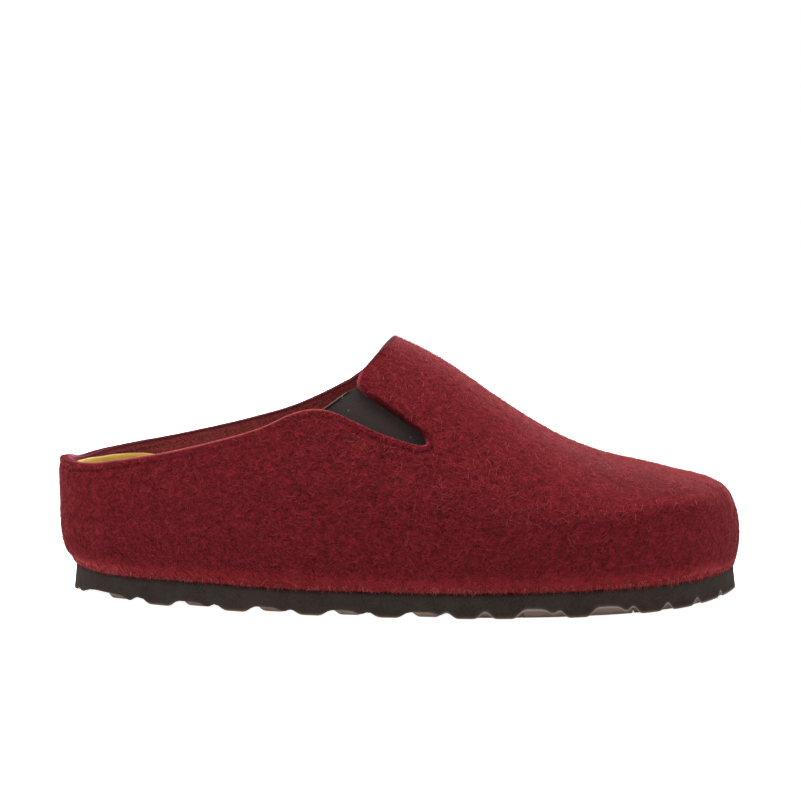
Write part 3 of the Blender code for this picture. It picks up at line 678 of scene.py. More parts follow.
def feltGrid():
    # both faces of the felt: rounded or rolled in at the cut edge, grooved below it, padded at the heel
    grid, below, finish = feltSurface()
    normal = gridNormals(grid)
    # where columns run along the cut edge their cross product fails, so a lower row's normal is kept
    rows = felt["edgeRows"]
    steady = normal[:, -rows - 1:-rows]
    wrong = (normal[:, -rows:] * steady).sum(axis=2) < 0.8
    normal[:, -rows:] = np.where(wrong[..., None], steady, normal[:, -rows:])
    groove, roll, cutLightShade, crisp = finish.values()
    amount, padX, padBelow = felt["heelPad"]
    pad = amount * (1 - smoothStep(grid[..., 0], *padX)) * (1 - smoothStep(below, *padBelow))
    reach, power = felt["rimRound"]
    longer, shorter, deeper = felt["rolled"]
    squareDepth, squareRound = felt["crisp"]
    edge = 0.4 * pad + felt["wall"] * (0.5 + deeper * roll + squareDepth * crisp)
    outDepth = edge * (1 - quarterRound(below / (reach + longer * roll), power))
    inReach = (reach - shorter * roll) * (1 - squareRound * crisp)
    inDepth = edge + (felt["wall"] + pad - edge) * quarterRound(below / inReach, power)
    place, width, depth = felt["groove"]
    press = depth * groove * np.exp(-((below - place) / width) ** 2)
    lump = sum(size * swell(grid, wave, 24, int(wave * 10)) for wave, size in felt["lumps"])
    aboveSole, belowCut = felt["lumpsFrom"]
    raised = smoothStep(grid[..., 2], felt["bottom"], felt["bottom"] + aboveSole)
    relief = ((lump - creaseDepth(grid)) * raised - press) * np.minimum(1, below / belowCut)
    outside = grid + normal * (relief - outDepth)[..., None]
    rimStart = grid.shape[1] - felt["rimRows"]
    keep = np.r_[np.arange(0, rimStart, felt["insideStep"]), np.arange(rimStart, grid.shape[1] - 1)]
    inside = (grid - normal * inDepth[..., None])[:, keep][:, ::-1]
    rings = np.concatenate([outside, inside], axis=1).transpose(1, 0, 2)

    def bothFaces(outer):
        outer = np.broadcast_to(outer, below.shape)
        return np.concatenate([outer, outer[:, keep][:, ::-1]], axis=1).T

    # painted shade along the rolled-in edges, the square cut of the inner collar and the cut stretches given
    # painted shade
    dark = np.maximum(crisp, -cutLightShade)
    rollShade, cutShade = felt["shaded"]
    shade = np.maximum(
        roll * (1 - smoothStep(below, 0.0, rollShade)), dark * (1 - smoothStep(below, *cutShade)))
    values = {
        "rim": bothFaces(np.minimum(below, 20.0)),
        "seam": bothFaces(groove),
        "cutLightShade": bothFaces(np.maximum(cutLightShade, 0)),
        "rolled": bothFaces(shade),
        "upward": bothFaces(np.clip(normal[..., 2], 0, 1)),
        "inside": np.concatenate([np.zeros(outside.shape[:2]), np.ones(inside.shape[:2])], axis=1).T,
        "foot": bothFaces(np.minimum(grid[..., 2] - felt["bottom"] - footRise(grid[..., 0]), 20.0)),
    }
    rollMatte, cutMatte, least = felt["turned"]
    turned = bothFaces(np.maximum(roll * (below < rollMatte), dark * (below < cutMatte)) > least)
    return rings, values, outside, normal, turned, np.maximum(below - felt["rollRoom"] * roll, 0)


def feltMaterial(name, sheen):
    # heathered wool: fine reds drawn out along the shoe with short bright curls tangled over them
    material, tree, shader, vector = newMaterial(name, 1.0, 0.06)
    upward, foot, below = (attributeValue(tree, key) for key in ("upward", "foot", "rim"))
    drawn = put(tree, "ShaderNodeMapping", {"Vector": vector, "Scale": (0.5, 1.0, 1.0)}).outputs[0]
    patch, fleck = placeGroup(tree, mottle, {"Vector": vector, "Scale": 95.0}).outputs[:2]
    grain = remap(tree, noise(tree, drawn, 2800.0, 0.0, 0.5, 0.3), 0.28, 0.72)
    tone = calc(tree, "MULTIPLY_ADD", patch, 0.04, times(tree, fleck, 0.02))
    tone = calc(tree, "MULTIPLY_ADD", grain, 0.94, tone)
    # faces that look up are evened out and painted paler, partly to calm the grain, partly as painted light
    # on the top: their tone is drawn to one paler value, with weaker curls and less relief
    paintedTopLight = times(tree, remap(tree, upward, 0.25, 0.7, 0.0, 0.5), remap(tree, upward, 0.78, 0.97, 1.0, 0.15))
    tone = calc(tree, "MULTIPLY_ADD", calc(tree, "SUBTRACT", 0.64, tone), paintedTopLight, tone)
    lively = remap(tree, upward, 0.2, 0.7, 1.0, 0.8)
    color = colorRamp(tree, tone, felt["reds"])
    for scale, thinness, share, tint in felt["curls"]:
        inputs = {"Vector": drawn, "Scale": scale, "Thinness": thinness}
        curl = times(tree, placeGroup(tree, tangledFibre, inputs).outputs[0], lively)
        color = layColors(tree, color, [(curl, share, tint)])
    # painted shade on faces that look straight up, such as the flat top of the toe
    color = blendColor(tree, remap(tree, upward, 0.82, 0.95, 0.0, 0.36), color, felt["crown"])
    # painted light from the floor on the brushed foot above the sole, partly its paler fuzz
    napAndFloorLight = blendColor(tree, grain, *felt["napAndFloorLight"])
    color = blendColor(tree, remap(tree, foot, 0.0, 8.0, 0.78, 0.0), color, napAndFloorLight)
    # painted light from the floor low on heel and toe, partly paler fuzz
    along = put(tree, "ShaderNodeSeparateXYZ", {0: vector}).outputs[0]
    heel, toe = remap(tree, along, -0.122, -0.088, 0.85, 0.0), remap(tree, along, 0.090, 0.125, 0.0, 0.4)
    ends = times(tree, calc(tree, "MAXIMUM", heel, toe), remap(tree, foot, 0.3, 5.2, 1.0, 0.0))
    color = blendColor(tree, ends, color, felt["ends"])
    # the inside face gets a paler, duskier wool: painted light on the shaded inner wall
    paintedLightLining = blendColor(tree, grain, *felt["paintedLightLining"])
    color = layColors(tree, color, [(attributeValue(tree, "inside"), 0.9, paintedLightLining)])
    away = calc(tree, "ABSOLUTE", calc(tree, "SUBTRACT", below, felt["groove"][0]))
    dark = times(tree, remap(tree, away, 0.15, 0.9, 0.70, 0.0), attributeValue(tree, "seam"))
    # painted highlight along the cut edge, partly its paler cut wool
    cutHighlight = times(tree, remap(tree, below, 0.25, 1.3, 0.85, 0.0), attributeValue(tree, "cutLightShade"))
    # laid over in turn: painted shade in the groove, the cut's painted highlight, painted shade along rolled
    # and square edges
    color = layColors(tree, color, [
        (dark, remap(tree, grain, 0.15, 0.75, 1.0, 0.35), felt["grooveShade"]),
        (cutHighlight, 1.0, blendColor(tree, grain, *felt["cutHighlightColors"])),
        (attributeValue(tree, "rolled"), 0.62, felt["turnedShade"])])
    tree.links.new(color, shader.inputs["Base Color"])
    relief = calc(tree, "MULTIPLY_ADD", curl, 0.3, times(tree, grain, 0.6))
    addBump(tree, shader, times(tree, relief, remap(tree, upward, 0.2, 0.7, 1.0, 0.35)), 0.3, 0.18)
    setSheen(shader, sheen, *felt["sheen"])
    return material


feltRings, feltValues, feltOutside, feltNormal, feltTurned, feltRoom = feltGrid()
makePiece(
    "feltUpper", feltRings, ringFaces(*feltRings.shape[:2], closed=True), (),
    [feltMaterial("woolFelt", 0.36), feltMaterial("woolFeltTurned", 0.0)], feltValues, "upper",
    feltTurned.ravel())


# Loose fibres of the felt

fibres = {
    # how many, their segments, length, radius, lift off the felt, how upright, darkest and palest tone
    "lying": {"count": 11500, "segments": 3, "length": (1.2, 4.2), "radius": (0.05, 0.095), "lift": 0.16,
              "upright": 0.0, "tone": (0.3, 1.0)},
    "standing": {"count": 12000, "segments": 2, "length": (0.5, 1.5), "radius": (0.035, 0.055), "lift": 0.1,
                 "upright": 0.8, "tone": (0.6, 1.0)},
    "fringe": {"count": 9000, "segments": 2, "length": (0.9, 2.5), "radius": (0.050, 0.085), "lift": 0.1,
               "upright": 0.5, "tone": (0.0, 1.0)},
    "clear": (0.5, 0.3),        # none nearer than this to the sole and to the cut edge
    "slotTip": (140.5, 64.0, 5.0),   # nor lying round the tip of the slot: x, z and radius
    "topFewer": (0.5, (0.2, 0.6)),   # share that the top goes without, by how far it looks up
    "root": 0.06,               # how deep they start
    "fringeReach": (0.4, 1.9),
    # standing fibres: share everywhere, share and spread where the face turns from y
    "profile": (0.15, 2.5, 0.22),
    "topPaintedLight": 0.3,            # the top's fibres show their shaded sides, so their wool gets painted light to make up for it
    "atRim": (0.25, 0.75),      # longest fibre at the cut edge and how much longer by the way to it
    # wool from deep to pale
    "wool": ((0.060, 0.0045, 0.0064), (0.205, 0.0147, 0.0210), (0.480, 0.064, 0.073)),
    # the fringe's wool painted paler: painted light on hairs that hang in shade above the sole
    "fringeWoolPaintedLight": ((0.330, 0.025, 0.033), (0.580, 0.066, 0.074), (0.820, 0.310, 0.290)),
}


def surfaceSamples(grid, normal, weight, count, draw):
    # random spots on a grid that closes round, by area and weight, with the grid's own normal there
    after = np.roll(grid, -1, axis=0)
    around = (after - grid)[:, :-1]
    up = np.diff(grid, axis=1)
    area = np.linalg.norm(np.cross(around, up), axis=2) * weight[:, :-1]
    chance = np.cumsum(area.ravel())
    cell = np.searchsorted(chance, draw.uniform(0, chance[-1], count))
    column, row = np.unravel_index(cell, area.shape)
    a, b = draw.uniform(0, 1, (2, count, 1))
    spot = grid[column, row] + around[column, row] * a + up[column, row] * b
    return spot, normal[column, row], unit(up[column, row]), feltRoom[column, row]


def strandMesh(spot, normal, way, length, radius, lift, bend, segments):
    # a bent spike with three sides: root + way * s + side * bend * s^2 + normal * lift, thin at both ends
    count = len(spot)
    side = np.cross(normal, way)
    s = np.linspace(0, 1, segments + 1)[None, :, None]
    reach = length[:, None, None]
    line = spot[:, None] + way[:, None] * (reach * s)
    line = line + side[:, None] * (reach * bend[:, None, None] * s ** 2)
    line = line + normal[:, None] * (lift[:, None, None] * np.sin(np.pi * np.clip(s + 0.08, 0, 1)))
    thick = radius[:, None] * (0.45 + 0.55 * np.sin(np.pi * (0.15 + 0.7 * s[0, :-1, 0])))
    turn = np.arange(3) * 2 * np.pi / 3
    ringWay = normal[:, None] * np.cos(turn)[None, :, None] + side[:, None] * np.sin(turn)[None, :, None]
    rings = line[:, :-1, None] + ringWay[:, None] * thick[:, :, None, None]
    points = np.concatenate([rings.reshape(count, -1, 3), line[:, -1:]], axis=1)
    step = np.arange(3)
    after = (step + 1) % 3
    ring = np.arange(segments - 1)[:, None] * 3
    quads = np.stack([ring + after, ring + step, ring + 3 + step, ring + 3 + after], axis=-1)
    top = (segments - 1) * 3
    tris = np.vstack([np.stack([top + after, top + step, np.full(3, top + 3)], axis=-1), [(0, 1, 2)]])
    base = (np.arange(count) * points.shape[1])[:, None, None]
    return points, (quads.reshape(-1, 4) + base).reshape(-1, 4), (tris + base).reshape(-1, 3)


def looseFibres(name, settings, weight, seed, material, downward=0.0):
    # hairs on random spots of the felt, each with its own turn, length, lift, bend and tone
    draw = np.random.default_rng(seed)
    count = settings["count"]
    spot, normal, up, room = surfaceSamples(feltOutside, feltNormal, weight, count, draw)
    turn = draw.uniform(0, 2 * np.pi, count)[:, None]
    across = np.cross(normal, up)
    flat = unit(across * np.cos(turn) + up * (np.sin(turn) - downward))
    upright = settings["upright"] * draw.uniform(0.2, 1.0, count)[:, None]
    way = flat * np.sqrt(1 - upright ** 2) + normal * upright
    shortest, slope = fibres["atRim"]
    length = np.minimum(draw.uniform(*settings["length"], count), shortest + slope * room)
    radius = draw.uniform(*settings["radius"], count)
    lift = settings["lift"] * draw.uniform(0.3, 1.0, count)
    bend = draw.uniform(-0.9, 0.9, count)
    square = unit(normal - way * (normal * way).sum(axis=1)[:, None])
    root = spot - normal * fibres["root"]
    points, quads, tris = strandMesh(root, square, way, length, radius, lift, bend, settings["segments"])
    # the top's fibres get painted light: paler wool where their shaded sides show
    tone = draw.uniform(*settings["tone"], count) + fibres["topPaintedLight"] * np.clip(normal[:, 2], 0, 1)
    tone = np.repeat(np.minimum(tone, 1), points.shape[1])
    makePiece(name, points, quads, tris, [material], {"tone": tone})


def fibreMaterial(name, wool):
    # wool fibres from deep red to a dusty pink, one tone for each
    material, tree, shader = newMaterial(name, 0.95, 0.06)[:3]
    color = colorRamp(tree, attributeValue(tree, "tone"), tuple(zip((0.0, 0.75, 1.0), wool)))
    tree.links.new(color, shader.inputs["Base Color"])
    setSheen(shader, 0.15, (0.9, 0.5, 0.5))
    return material


def fibrePlaces():
    # weights over the felt: lying fibres all over, standing ones at the silhouette, a fringe above the sole
    x, y, z = np.moveaxis(feltOutside, 2, 0)
    aboveSole = z - felt["bottom"] - footRise(x)
    fromSole, fromCut = fibres["clear"]
    clear = (aboveSole > fromSole) & (feltRoom > fromCut)
    tipX, tipZ, tipRadius = fibres["slotTip"]
    atTip = (np.hypot(x - tipX, z - tipZ) < tipRadius) & (y < 0)
    fewer, lookingUp = fibres["topFewer"]
    lying = (clear & ~atTip) * (1 - fewer * smoothStep(feltNormal[..., 2], *lookingUp))
    share, more, spread = fibres["profile"]
    standing = clear * (share + more * np.exp(-(feltNormal[..., 1] / spread) ** 2))
    low, high = fibres["fringeReach"]
    return lying, standing, ((aboveSole > low) & (aboveSole < high)).astype(float)


lyingPlaces, standingPlaces, fringePlaces = fibrePlaces()
woolFibre = fibreMaterial("woolFibre", fibres["wool"])
woolFringe = fibreMaterial("woolFringe", fibres["fringeWoolPaintedLight"])
looseFibres("feltFibresLyingA", fibres["lying"], lyingPlaces, 11, woolFibre)
looseFibres("feltFibresLyingB", fibres["lying"], lyingPlaces, 21, woolFibre)
looseFibres("feltFibresStanding", fibres["standing"], standingPlaces, 12, woolFibre)
looseFibres("feltFringe", fibres["fringe"], fringePlaces, 13, woolFringe, downward=1.6)


# Footbed

bed = {
    "columns": 300,
    "seat": 13.4,
    "plugBottom": 9.6,
    "plugInset": 8.5,
    "clear": 4.0,               # from the felt's outer face
    "lean": 0.1,
    # further in behind the padded back of the collar: by how much, over x and z
    "heelPad": (1.6, (5.0, 20.0), (25.0, 42.0)),
    "lip": (1.6, 0.25),         # width and crown of the lip
    "spine": (38.0, 222.0),
    "bowlRings": 34,
    "bowlPower": 5.2,
    "lumps": ((14.0, 0.12), (4.0, 0.06)),
    "names": ("floor", "outerRim", "innerRim"),
    "rows": (
        (0.0, 31.0, 49.2, 49.2), (12.0, 30.0, 49.2, 49.3), (28.0, 29.0, 48.8, 49.2), (46.0, 28.0, 45.6, 46.6),
        (65.0, 26.5, 41.0, 43.0), (100.0, 25.0, 33.0, 38.5), (140.0, 21.5, 27.0, 30.0),
        (180.0, 18.5, 24.0, 25.0), (225.0, 18.0, 23.0, 23.0), (262.0, 19.0, 23.0, 23.0),
    ),
    # creases in the cover at the back of the heel: two ends in plan, width and depth
    "creases": (
        ((9.5, 7.0), (17.0, 12.5), 0.7, 0.5),
        ((12.0, 13.0), (18.0, 17.5), 0.8, 0.35),
        ((14.0, -10.0), (24.0, -13.0), 0.8, 0.35),
    ),
    "cover": ((0.430, 0.280, 0.057), (0.528, 0.358, 0.082)),
    "flecks": (0.35, (0.350, 0.195, 0.043)),
    "pepper": (0.30, (0.600, 0.385, 0.120)),
}


def bedGrid():
    # plug, felt-side wall, rounded lip and a bowl that falls to the spine by a power of the way left
    table = tableCurves(bed["names"], bed["rows"])
    places = np.linspace(0, len(widestLoop), bed["columns"], endpoint=False)
    feet = footColumns(places)
    inner = feet - gridNormals(feet) * bed["clear"]
    base = atPlaces(widestLoop, places)
    x = base[:, 0]
    rim = np.where(base[:, 1] < crestY(x), table["outerRim"](x), table["innerRim"](x))
    heights = bed["seat"] + (rim - bed["seat"])[:, None] * np.linspace(0, 1, 9)
    walls = readColumns(inner[..., :2], inner[..., 2], np.minimum(heights, inner[:, -1:, 2]))
    lean = bed["lean"] * np.clip(heights - inner[:, -1:, 2], 0, None)
    pad, padX, padZ = bed["heelPad"]
    lean = lean + pad * (1 - smoothStep(x, *padX))[:, None] * smoothStep(heights, *padZ)
    walls = walls - atPlaces(featherNormal, places)[:, None] * lean[..., None]
    spineX = np.clip(x, *bed["spine"])
    spine = np.column_stack([spineX, 0.5 * (widestOuter(spineX) + widestInner(spineX))])
    edge = walls[:, -1]
    lipWidth, lipCrown = bed["lip"]
    lipShare = np.linspace(0.12, 1, 7)
    lipPlan = edge[:, None] + unit(spine - edge)[:, None] * (lipWidth * lipShare)[None, :, None]
    lipZ = rim[:, None] + lipCrown * np.sin(np.pi * lipShare)[None]
    part = np.linspace(0, 1, bed["bowlRings"] + 1)[1:] ** 1.25 * 0.97
    inside = lipPlan[:, -1]
    bowlPlan = inside[:, None] + (spine - inside)[:, None] * part[None, :, None]
    floor = table["floor"](bowlPlan[..., 0])
    bowlZ = floor + (rim[:, None] - floor) * (1 - part[None]) ** bed["bowlPower"]
    top = np.concatenate([np.dstack([lipPlan, lipZ]), np.dstack([bowlPlan, bowlZ])], axis=1)
    top[..., 2] += sum(size * swell(top, wave, 20, int(wave)) for wave, size in bed["lumps"])
    for start, end, width, depth in bed["creases"]:
        share, away = fromLine(top[..., :2], start, end)
        top[..., 2] -= depth * np.exp(-(away / width) ** 2) * np.sin(np.pi * np.clip(share, 0.05, 0.95))
    plug = atPlaces(feather - featherNormal * bed["plugInset"], places)[:, None].repeat(2, axis=1)
    plugZ = np.broadcast_to((bed["plugBottom"], bed["seat"]), plug.shape[:2])
    grid = np.concatenate([np.dstack([plug, plugZ]), np.dstack([walls, heights]), top], axis=1)
    return grid.transpose(1, 0, 2)


def bedMaterial():
    # mustard cover with a short nap: warm patches, darker flecks and fine pepper
    material, tree, shader, vector = newMaterial("mustardCover", 0.92, 0.15)
    patch, fleck, pepper = placeGroup(tree, mottle, {"Vector": vector, "Scale": 130.0}).outputs
    color = blendColor(tree, patch, *bed["cover"])
    color = layColors(tree, color, [(fleck, *bed["flecks"]), (pepper, *bed["pepper"])])
    tree.links.new(color, shader.inputs["Base Color"])
    addBump(tree, shader, calc(tree, "MULTIPLY_ADD", pepper, 0.6, times(tree, fleck, 0.4)), 0.4, 0.15)
    setSheen(shader, 0.15, (1.0, 0.85, 0.6))
    return material


bedRings = bedGrid()
ringCount, columnCount = bedRings.shape[:2]
topQuads, topTris = stripAcross((ringCount - 1) * columnCount, columnCount)
lowQuads, lowTris = stripAcross(0, columnCount)
makePiece(
    "footbedCover", bedRings,
    np.concatenate([ringFaces(ringCount, columnCount), topQuads, lowQuads[:, ::-1]]),
    np.concatenate([topTris, lowTris[:, ::-1]]), [bedMaterial()], None, "footbed")


# Elastic gore

elastic = {
    "thickness": 1.2,
    "behindFelt": 3.8,
    "lap": 5.0,
    "low": (93.5, 148.0),
    "top": ((0.0, 112.0, 81.0), (0.35, 121.5, 84.0), (0.7, 138.0, 73.0), (1.0, 149.5, 63.5)),
    "steps": (150, 60),
    "weave": 0.78,              # pitch of its ribs and rows
    "hem": (2.2, 0.35),         # width and height of the folded edge
    "stitch": (0.2, 0.25, 0.25),     # its groove: place past the hem, half width and depth
    "weaveColors": ((0.010, 0.0075, 0.0068), (0.082, 0.062, 0.056)),
    "pepper": (0.40, (0.040, 0.030, 0.027)),
    "flecks": (0.30, (0.022, 0.017, 0.015)),
    "seam": (0.014, 0.012, 0.011),
    "lint": (0.450, 0.420, 0.390),
    "freeEdge": (0.330, 0.240, 0.180),
}


def goreGrid():
    # panel between its lower edge, below the slot, and its upper edge, set in from the last by the felt
    alongSteps, acrossSteps = elastic["steps"]
    run = np.linspace(0, 1, alongSteps)
    lowX = np.interp(run, (0.0, 1.0), elastic["low"])
    lowZ = outerRim(lowX) - elastic["lap"]
    table = tableCurves(("x", "z"), elastic["top"])
    part = np.linspace(0, 1, acrossSteps)[:, None]
    x = lowX + (table["x"](run) - lowX) * part
    z = lowZ + (table["z"](run) - lowZ) * part
    grid = np.dstack([planAt(x, z, -1.0), z])
    normal = unit(np.cross(np.gradient(grid, axis=1), np.gradient(grid, axis=0)))
    free = grid[:, 0]
    fromEdge = lengthsAlong(grid)
    hemWidth, hemHeight = elastic["hem"]
    hem = hemHeight * smoothStep(hemWidth - fromEdge, 0.0, 0.4)
    past, width, depth = elastic["stitch"]
    stitch = depth * np.exp(-((fromEdge - hemWidth - past) / width) ** 2)
    face = grid - normal * (elastic["behindFelt"] + hemHeight + stitch - hem)[..., None]
    back = grid - normal * (elastic["behindFelt"] + elastic["thickness"])
    return face, back, {"edge": fromEdge, "along": (grid - free[0]) @ unit(free[-1] - free[0])}


def sheetFaces(face):
    # front, back and the four edges of a thin panel whose two grids follow each other
    rows, columns = face.shape[:2]
    index = np.arange(rows * columns).reshape(rows, columns)
    corners = [index[:-1, :-1], index[:-1, 1:], index[1:, 1:], index[1:, :-1]]
    front = np.stack(corners, axis=-1).reshape(-1, 4)
    border = np.concatenate([index[0, :-1], index[:-1, -1], index[-1, :0:-1], index[:0:-1, 0]])
    after = np.roll(border, -1)
    size = rows * columns
    rim = np.stack([border + size, after + size, after, border], axis=-1)
    return np.concatenate([front, front[:, ::-1] + size, rim])


def goreMaterial():
    # black elastic: ribs and rows woven across each other, a tan free edge and a little lint
    material, tree, shader, vector = newMaterial("blackElastic", 0.8, 0.2)
    fleck, pepper = placeGroup(tree, mottle, {"Vector": vector, "Scale": 240.0}).outputs[1:]
    fromEdge, along = (attributeValue(tree, key) for key in ("edge", "along"))
    turn = 2 * np.pi / elastic["weave"]
    waves = [calc(tree, "SINE", times(tree, run, turn)) for run in (fromEdge, along)]
    weave = calc(tree, "MULTIPLY_ADD", calc(tree, "ADD", *waves), 0.25, 0.5)
    fromSeam = calc(tree, "ABSOLUTE", calc(tree, "SUBTRACT", fromEdge, elastic["hem"][0]))
    lint = noise(tree, vector, 900.0, 0.0)
    color = layColors(tree, blendColor(tree, weave, *elastic["weaveColors"]), [
        (pepper, *elastic["pepper"]), (fleck, *elastic["flecks"]),
        (remap(tree, fromSeam, 0.1, 0.5, 1.0, 0.0), 0.6, elastic["seam"]),
        (remap(tree, lint, 0.80, 0.84), 0.6, elastic["lint"]),
        (remap(tree, fromEdge, 0.2, 0.8, 1.0, 0.0), 0.85, elastic["freeEdge"])])
    tree.links.new(color, shader.inputs["Base Color"])
    addBump(tree, shader, weave, 0.5, 0.12)
    return material


goreFace, goreBack, goreValues = goreGrid()
makePiece(
    "elasticGore", np.stack([goreFace, goreBack]), sheetFaces(goreFace), (),
    [goreMaterial()],
    {key: np.concatenate([value.ravel()] * 2) for key, value in goreValues.items()}, "gore")


# Sole

sole = {
    "top": 9.3,
    "depth": 3.0,
    "toeSpring": (1.2, 215.0),  # rise at the toe and the x where it starts
    "heelBevel": (1.4, 12.0),   # rise at the back of the heel and its length
    "flare": 1.2,
    # lugs: middle of each bar and how far its ends stop short of the edge
    "lugs": (
        (10.5, 4.0), (27.0, 5.0), (42.8, 0.0), (57.0, 4.4), (71.5, 0.0), (85.3, 3.6), (99.1, 0.0),
        (113.0, 3.0), (127.0, 0.0), (141.0, 2.6), (154.7, 0.0), (168.4, 0.0), (181.6, 2.2), (194.7, 0.0),
        (208.3, 2.2), (221.9, 0.0), (234.6, 0.0), (246.0, 0.0), (256.0, 0.0),
    ),
    "lugWidth": 8.4,
    "lugSlope": (2.5, 0.46),    # length of a lug's flank, at most this share of the gap
    "lugTooth": 0.6,
    # tread depth round the back of the heel, at the edge and further in
    "heelEdge": ((7.0, 0.1), (8.8, 0.5), (9.9, 2.0), (11.0, 0.9), (12.5, 1.5), (14.7, 2.6), (17.0, 3.0)),
    "heelMiddle": ((7.0, 0.6), (11.0, 1.0), (13.0, 1.6), (14.7, 2.4)),
    # side wall above a short bar, by its width
    "insetArch": ((-0.5, 3.0), (-0.1, 2.95), (0.18, 2.7), (0.34, 1.9)),
    # rib behind the notches: inset, where along x it starts and where the heel's ends, share at the heel
    "rimRib": ((2.0, 2.9, 6.0, 7.5), (146.0, 158.0), (11.0, 13.0), 0.6),
    "edgeShare": ((18.0, 1.0), (30.0, 0.72), (140.0, 0.72), (152.0, 1.0)),  # depth of the notches by x
    "lugEnd": 1.6,              # run of a bar's end, from the edge's depth to the middle's
    "endMost": (0.12, 0.2),     # most of the width that an end may start and stop at
    "meanInset": 3.4,
    "wave": (1.5, 4.5),         # swing of the wavy bars at heel and forefoot
    "waveTurn": (90.0, 150.0),  # x over which it changes
    "waveFade": (20.0, 40.0),   # lengths over which it dies away at heel and toe
    "waves": 1.5,
    "stations": 760,
    "round": 0.35,              # rounding of the lugs' lower edges
    "blur": 3,                  # stations over which the lugs' corners are eased
    "wallRows": 8,
    "edgeHighlight": (0.22, 0.4),        # how far the painted highlight on the edges reaches up the side and in under it
    "raised": (0.5, 1.3),       # heights from the lugs' faces to the notches
    "insetPaleBand": ((0.5, 1.2), (7.0, 12.0)),   # inset where the paler tone in the recesses starts and ends
    "insetPaleAlong": ((140.0, 1.0), (160.0, 0.6)),
    # share of the painted highlight on the arches' edges, by x
    "archHighlightAlong": ((140.0, 0.1), (155.0, 1.0)),
    "rubber": ((0.029, 0.0205, 0.0165), (0.040, 0.0290, 0.0235)),
    "pepper": (0.45, (0.072, 0.058, 0.050)),
    # mask, share and colour
    "marks": (
        # a paler tone in the recesses; painted highlights on the arches' edges and on the lowest edges
        ("insetPale", 0.9, (0.66, 0.480, 0.390)), ("archEdgeHighlight", 0.75, (0.66, 0.57, 0.50)),
        ("lowEdgeHighlight", 0.60, (0.58, 0.36, 0.21)),
    ),
}


def treadCurves(x):
    # depth of the tread in the middle and at the edge, and the inset of the bars, along the sole
    rows = [(place, depth, 4.0) for place, depth in sole["heelMiddle"]]
    edges = list(sole["heelEdge"])
    deep = sole["depth"]
    pairs = zip(sole["lugs"][:-1], sole["lugs"][1:])
    for index, ((place, inset), (nextPlace, nextInset)) in enumerate(pairs):
        rear, front = place + sole["lugWidth"] / 2, nextPlace - sole["lugWidth"] / 2
        slope = min(sole["lugSlope"][0], sole["lugSlope"][1] * (front - rear))
        rows += [(rear + slope, deep, inset), (front - slope, deep, nextInset), (front, 0.0, nextInset)]
        if index:
            rows.insert(-3, (rear, 0.0, inset))
            edges += [(rear, sole["lugTooth"] if inset else 0.0), (rear + slope, deep)]
        edges += [(front - slope, deep)]
        if nextInset:
            edges += [(nextPlace + share * sole["lugWidth"], depth) for share, depth in sole["insetArch"]]
        else:
            edges += [(front, 0.0)]
    rows, edges = np.array(rows), np.array(edges)
    kernel = np.ones(2 * sole["blur"] + 1) / (2 * sole["blur"] + 1)

    def eased(knots, values):
        padded = np.pad(np.interp(x, knots, values), sole["blur"], mode="edge")
        return np.convolve(padded, kernel, mode="valid")

    shallow = readTable(sole["edgeShare"], x)
    return eased(rows[:, 0], rows[:, 1]), eased(*edges.T) * shallow, np.interp(x, rows[:, 0], rows[:, 2])


